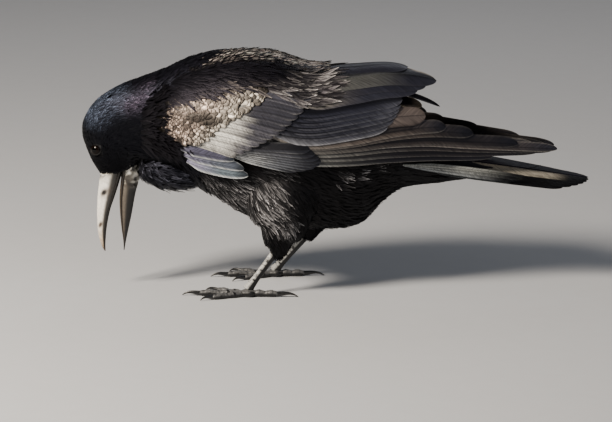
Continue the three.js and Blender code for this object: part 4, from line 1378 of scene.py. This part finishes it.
def mandible(stations, upper, flake, seed, bare_to):
    """A mandible: outside, half an ellipse from one biting edge over the ridge to the other,
    drawn in towards the edges; inside, a trough a quarter as deep. The upper one's nostrils are
    pits that fall off as a bell curve, and the bare skin at the base is roughened by smooth
    noise. Returns points, place along the bill, turn round it and the noise."""
    place = np.linspace(0.02, 1, BILL_RINGS)[:, None]
    over = np.linspace(0, np.pi, OUTSIDE)
    back = np.linspace(np.pi, 2 * np.pi, INSIDE + 2)[1:-1]
    turn = np.concatenate([over, back])[None, :]
    rows = through(stations, place * (len(stations) - 1))
    ridge, edge, half = rows[..., 0:2], rows[..., 2:4], rows[..., 4]
    out = np.where(turn <= np.pi, np.abs(np.sin(turn)) ** 0.92, 0.24 * np.abs(np.sin(turn)) ** 0.7)
    grain = soft_noise((BILL_RINGS, OUTSIDE + INSIDE), 2, seed)
    out = out + flake * grain * smooth(bare_to, bare_to - 0.12, place) * (turn < np.pi) / np.maximum(half, 1)
    wide = half * np.cos(turn) * mix(0.62, 1, smooth(0, 0.45, np.abs(np.sin(turn))))
    for away in nostrils(place, turn) if upper else ():
        wide = wide - np.sign(np.cos(turn)) * NOSTRIL["depth"] * np.exp(-away)
    x, z = (mix(edge[..., i], ridge[..., i], out) for i in (0, 1))
    return np.stack([x, wide, z], axis=-1), place + 0 * turn, turn + 0 * place, grain


def bill_colours_and_painted_light(place, turn, grain, stops, upper, bare_to):
    """Bill colours along its length, with whitish scurf on the bare skin. The upper bill has dark
    biting edges, the horn's own dark edge widened with painted shade towards the edges, nostrils
    with painted shade in their pits, and a brown stain near the tip; the lower one has painted
    shade over its keel and a pale painted highlight along its biting edge. Inside, both are
    darkened with painted shade."""
    table = [(stop, *linear(code)) for stop, code in stops]
    colours = np.stack([strand([(row[0], row[i]) for row in table], place) for i in (1, 2, 3)], axis=-1)
    bare = smooth(bare_to, bare_to - 0.09, place)
    depth = np.abs(np.sin(turn)) * (turn < np.pi)
    colours = blend(colours, "#dcdad2", bare * smooth(0.0, 0.35, grain) * (turn < np.pi) * 0.85)
    colours = blend(colours, "#24211e", bare * smooth(-0.05, -0.45, grain) * 0.85)
    if upper:
        # The horn's own dark cutting edge, widened with painted shade over a broad band towards the edges.
        colours = blend(colours, "#14100d", 0.95 * smooth(0.6, 0.35, depth))
    else:
        # Painted shade over the keel of the lower bill.
        colours = blend(colours, "#070606", 0.97 * (smooth(0.3, 0.6, depth) * (1 - 0.5 * bare)))
        # Painted highlight along the lower bill's biting edge.
        colours = blend(colours, "#8d8272", 0.6 * (smooth(0.25, 0.05, depth) * (1 - bare)))
    # Painted shade on the inside of each mandible, in the gap between them.
    colours = np.where((turn > np.pi)[..., None], colours * linear("#5b514a"), colours)
    if not upper:
        return colours
    for away in nostrils(place, turn):
        colours = blend(colours, "#7a5c3e", 0.6 * np.exp(-away * 0.3))
        # Painted shade in the nostril's pit.
        colours = blend(colours, "#120c08", np.clip(1.8 * np.exp(-away * 0.9), 0, 1))
    stain = ((place - 0.645) / 0.016) ** 2 + ((np.abs(turn - np.pi / 2) - 0.8) / 0.22) ** 2
    return blend(colours, "#3a2618", np.clip(1.6 * np.exp(-0.7 * stain), 0, 0.95))


UPPER_COLOURS = [(0, "#8f8c84"), (0.14, "#cdc9bd"), (0.3, "#fffbf2"), (0.6, "#fbf4e8"), (0.8, "#c6b49c")]
UPPER_COLOURS += [(0.92, "#6b5846"), (1, "#2c241d")]
LOWER_COLOURS = [(0, "#6f6d69"), (0.16, "#a9a69d"), (0.3, "#625a50"), (0.6, "#574f46"), (0.85, "#2c2621")]
LOWER_COLOURS += [(1, "#1d1916")]


def make_half_bill(name, stations, stops, upper, flake, seed, bare_to):
    """One half of the bill. The upper one has nostrils; its ridge is in front, so that its rings
    run the other way round. The lower one is flaked more, and bare further towards the tip."""
    points, *grids = mandible(stations, upper, flake, seed, bare_to)
    colours = bill_colours_and_painted_light(*grids, stops, upper, bare_to)
    if upper:
        points, colours = points[:, ::-1], colours[:, ::-1]
    make_tube(f"{name}_horn", points, colours, BILL_HORN, "bill_horn", name)


make_half_bill("bill_upper", UPPER_BILL, UPPER_COLOURS, True, 0.35, 101, 0.24)
make_half_bill("bill_lower", LOWER_BILL, LOWER_COLOURS, False, 1.0, 102, 0.37)

# ---- Eyes and lids

EYE_OUT = unit(np.array([-0.45, 0.88, 0.06]))
EYE_GRID = (40, 48)  # rings, and points a ring
LID_RINGS = 65
LID_SECTION = 12
LID_THICK = 0.6


def round_sight(outward, turn):
    """Directions square to the line of sight, at a turn round it."""
    first = unit(np.cross(outward, [0, 0, 1.0]))
    second = np.cross(outward, first)
    return first * np.cos(turn)[..., None] + second * np.sin(turn)[..., None]


def make_eye(name, centre, outward):
    """A ball, with a black pupil round the line of sight, a dark brown iris, and black behind."""
    polar, turn = ball_grid(0.02, *EYE_GRID)
    ball = outward * np.cos(polar)[..., None] + round_sight(outward, turn) * np.sin(polar)[..., None]
    points = centre + EYE_RADIUS * ball
    colours = blend("#010101", "#0e0704", smooth(0.36, 0.42, polar))
    colours = blend(colours, "#050404", smooth(0.7, 0.85, polar))
    make_tube(f"eyeball_{name}", points[:, ::-1], colours[:, ::-1], EYE_GLOSS, "eye_gloss", f"eye_{name}")


def make_lids(name, centre, outward):
    """Both lids: a tube with a flattened section on a ring that lies on the eyeball and is
    pinched to a corner before and behind."""
    turn = np.linspace(0, 2 * np.pi, LID_RINGS)[:, None]
    section = np.linspace(0, 2 * np.pi, LID_SECTION, endpoint=False)[None, :]
    rim = 4.25 + 0.4 * np.cos(2 * turn)
    radius = rim + LID_THICK * np.cos(section) * 1.2
    rise = np.sqrt(np.clip(EYE_RADIUS**2 - rim**2, 0, None)) + 0.1 + LID_THICK * np.sin(section)
    lids = centre + outward * rise[..., None] + radius[..., None] * round_sight(outward, turn)
    colours = np.broadcast_to(linear("#0a0a0c"), lids.shape)
    make_tube(f"eyelids_{name}", lids, colours, LID_SKIN, "body_plumage")


for name, side in SIDES.items():
    eye = (name, EYE_CENTRE * [1, side, 1], EYE_OUT * [1, side, 1])
    make_eye(*eye)
    make_lids(*eye)

# ---- Feet

TARSI = {
    "left": {"heel": [-37, 21, 44], "foot": [-67, 32, 5], "heading": 4},
    "right": {"heel": [-17, 21, 42], "foot": [-47, 36, 5], "heading": -3},
}
TARSUS_RADII = [[3.4, 4.4], [2.6, 3.3], [2.2, 2.9], [2.1, 2.8], [2.3, 2.9], [3.4, 3.9]]
TOES = {
    "middle": {"turn": 0, "length": 36, "claw": 13, "radius": 2.5},
    "inner": {"turn": -27, "length": 26, "claw": 11, "radius": 2.3},
    "outer": {"turn": 27, "length": 28, "claw": 10, "radius": 2.3},
    "hind": {"turn": 180, "length": 22, "claw": 16, "radius": 2.7},
}
TOE_PADS = [1.15, 0.92, 1.08, 0.88, 1.04, 0.84]
FOOT_PAD = np.array([6.4, 5.6, 3.1])  # half sizes of the pad below the joint of the toes
TARSUS_PLATES = 9
TARSUS_PLATE_RISE = 0.25
TOE_PLATE = 3.2  # the length of a plate on top of a toe
TOE_PLATE_RISE = 0.3
TARSUS_GRID = (110, 28)
PAD_GRID = (28, 40)
TOE_GRID = (90, 24)
CLAW_GRID = (30, 16)


def plates(run, pitch):
    """How far along its plate a point lies, 0 to 1, and its height: each plate rises to its far
    edge and drops sharply to the next."""
    share = np.mod(run / pitch, 1)
    return share, share * smooth(1.0, 0.86, share)


def scute_colours_with_highlight(share, front, grain, painted_highlight):
    """Black scutes, dark where one plate ends, with a silver painted highlight on the side that faces the
    light, broken into patches.
    """
    seam = smooth(0.0, 0.12, share) * smooth(1.0, 0.9, share)
    return blend("#111113", painted_highlight, smooth(-0.8, -0.1, grain) * mix(0.5, 1, seam) * front)


def flat_sole(points):
    """The points, with each height below the floor raised to it."""
    points[..., 2] = np.maximum(points[..., 2], 0)
    return points


def make_tarsus(name, heel, foot):
    """The shank: a tube straight from heel to foot, with plates in front."""
    share, turn = grid_of(*TARSUS_GRID)
    along_plate, step = plates(share, 1 / TARSUS_PLATES)
    front = smooth(0.0, 0.35, -np.cos(turn))

    def place(f):
        """The centre on the line from heel to foot, and both radii with the plates' rise."""
        radii = through(TARSUS_RADII, f * (len(TARSUS_RADII) - 1))
        extra = TARSUS_PLATE_RISE * (step * front)
        return mix(heel, foot, f[..., None]), radii[..., 0] + extra, radii[..., 1] + extra

    points = flat_sole(around(place, share, turn))
    # Painted highlight in silver on the front of the shank.
    colours = scute_colours_with_highlight(along_plate, front, soft_noise(share.shape, 1, 111), "#b9b9b6")
    make_tube(f"scutes_tarsus_{name}", points, colours, LEG_SCALE, "leg_scales", f"tarsus_{name}")


def make_pad(name, sole):
    """The pad below the joint of the toes: a flattened ball, swollen in soft lumps."""
    polar, turn = ball_grid(0.03, *PAD_GRID)
    lumps = 1 + 0.05 * np.cos(5 * turn) * np.sin(polar) + 0.03 * soft_noise(polar.shape, 3, 113)
    ball = np.stack([np.sin(polar) * np.cos(turn), np.sin(polar) * np.sin(turn), np.cos(polar)], axis=-1)
    points = flat_sole(sole + [0.6, 0, 2.7] + FOOT_PAD * ball * lumps[..., None])
    upper = smooth(0.2, 0.7, np.cos(polar))
    # Painted highlight in grey on the upper side of the pad.
    colours = scute_colours_with_highlight(0.5 + 0 * polar, upper, soft_noise(polar.shape, 2, 114), "#5c5c5d")
    make_tube(f"foot_pad_{name}", points[:, ::-1], colours[:, ::-1], LEG_SCALE, "leg_scales")


def over_floor(sole, ahead, distance, height):
    """The points at a distance ahead of the foot's middle, and so high."""
    return sole + ahead * distance[..., None] + np.array([0, 0, 1]) * height[..., None]


def make_toe(digit, shape, sole, ahead, across):
    """A toe: a straight tube on the floor, swollen at its pads, closed at its end, with plates
    on top."""
    share, turn = grid_of(*TOE_GRID)
    along_plate, step = plates(share * shape["length"], TOE_PLATE)
    top = smooth(0.0, 0.6, np.cos(turn))

    def place(f):
        """The centre just above the floor, and the radius with the pads' swelling and plates."""
        swollen = shape["radius"] * through(TOE_PADS, f * (len(TOE_PADS) - 1))
        radius = swollen * (1 - 0.5 * smooth(0.97, 1, f))
        thick = radius + TOE_PLATE_RISE * step * top
        return over_floor(sole, ahead, f * shape["length"], radius * 0.92 - 0.2), thick, thick

    points = flat_sole(around(place, share, turn, across))
    # Painted highlight in grey on the tops of the toes.
    colours = scute_colours_with_highlight(along_plate, top, soft_noise(share.shape, 6, 112), "#5c5c5d")
    make_tube(f"scutes_toe_{digit}", points, colours, LEG_SCALE, "leg_scales", f"toe_{digit}")


def make_claw(digit, shape, sole, ahead, across):
    """A claw: a tube that rises from the toe, bends down to the floor and thins to a point."""
    start = shape["radius"] * TOE_PADS[-1]

    def place(f):
        """The centre on a cubic arch down to the floor, and the radii of a flattened section."""
        radius = mix(start * 0.9, 0.35, f**1.3)
        height = start + 6.4 * f * f * (1 - f) - (start - 0.4) * f**3
        distance = shape["length"] - 0.8 + f * (shape["claw"] + 1.1)
        return over_floor(sole, ahead, distance, height), radius * 0.75, radius

    share, turn = grid_of(*CLAW_GRID)
    points = flat_sole(around(place, share, turn, across))
    colours = blend("#0d0d0f", "#2b2927", smooth(0.5, 1, share))
    make_tube(f"horn_claw_{digit}", points, colours, CLAW_HORN, "claw_horn", f"claw_{digit}")


for name, side in SIDES.items():
    heel, foot = (np.array(TARSI[name][key], float) * [1, side, 1] for key in ("heel", "foot"))
    sole = foot * [1, 1, 0]
    make_tarsus(name, heel, foot)
    make_pad(name, sole)
    for digit, shape in TOES.items():
        angle = np.radians(shape["turn"] + TARSI[name]["heading"] * side)
        ahead = np.array([-np.cos(angle), side * np.sin(angle), 0])
        toe = (f"{name}_{digit}", shape, sole, ahead, (-ahead[1], ahead[0], 0))
        make_toe(*toe)
        make_claw(*toe)

# ---- Studio: floor, light and camera

FLOOR_SIZE = 30
corners = np.array([[-1, -1, 0], [1, -1, 0], [1, 1, 0], [-1, 1, 0]]) * FLOOR_SIZE / 2
floor_mesh = bpy.data.meshes.new("floor")
floor_mesh.from_pydata(corners.tolist(), [], [(0, 1, 2, 3)])
floor_mesh.materials.append(PAPER)
link("floor", floor_mesh)

VIEW_CENTRE = placed([-22.8, 0, 59.1])
VIEW_WIDTH = 465 * MM
CAMERA_DISTANCE = 3
CAMERA_RISE = 12
SENSOR_WIDTH = 36


def aim(name, data, azimuth, elevation, distance):
    """An object aimed at the bird from a distance: azimuth 0 is its left side, and grows towards
    its tail."""
    azimuth, elevation = np.radians([azimuth, elevation])
    flat_part = np.cos(elevation)
    away = np.array([np.sin(azimuth) * flat_part, -np.cos(azimuth) * flat_part, np.sin(elevation)]) * distance
    found = link(name, data)
    found.location = VIEW_CENTRE + away
    found.rotation_euler = Vector(-away).to_track_quat("-Z", "Y").to_euler()
    return found


camera_data = bpy.data.cameras.new("camera")
camera_data.sensor_width = SENSOR_WIDTH
camera_data.lens = SENSOR_WIDTH * CAMERA_DISTANCE / VIEW_WIDTH
camera_data.clip_end = 100
bpy.context.scene.camera = aim("camera", camera_data, 0, CAMERA_RISE, CAMERA_DISTANCE)

# Square soft boxes: azimuth, elevation, distance, size, power, colour.
LIGHTS = {
    "key": (-52, 38, 1.6, 0.4, 48, "#fff3e2"),
    "fill": (35, 25, 2.4, 1.6, 5, "#eef2fa"),
    "back": (172, 40, 1.8, 0.7, 2.6, "#f2f4fa"),
}
for name, (azimuth, elevation, distance, size, power, colour) in LIGHTS.items():
    light = bpy.data.lights.new(name, "AREA")
    light.size = size
    light.energy = power
    light.color = linear(colour)
    aim(name, light, azimuth, elevation, distance)
world = bpy.data.worlds.new("studio")
world.use_nodes = True
world.node_tree.nodes["Background"].inputs["Color"].default_value = opaque("#dfe3ea")
world.node_tree.nodes["Background"].inputs["Strength"].default_value = 0.14
bpy.context.scene.world = world
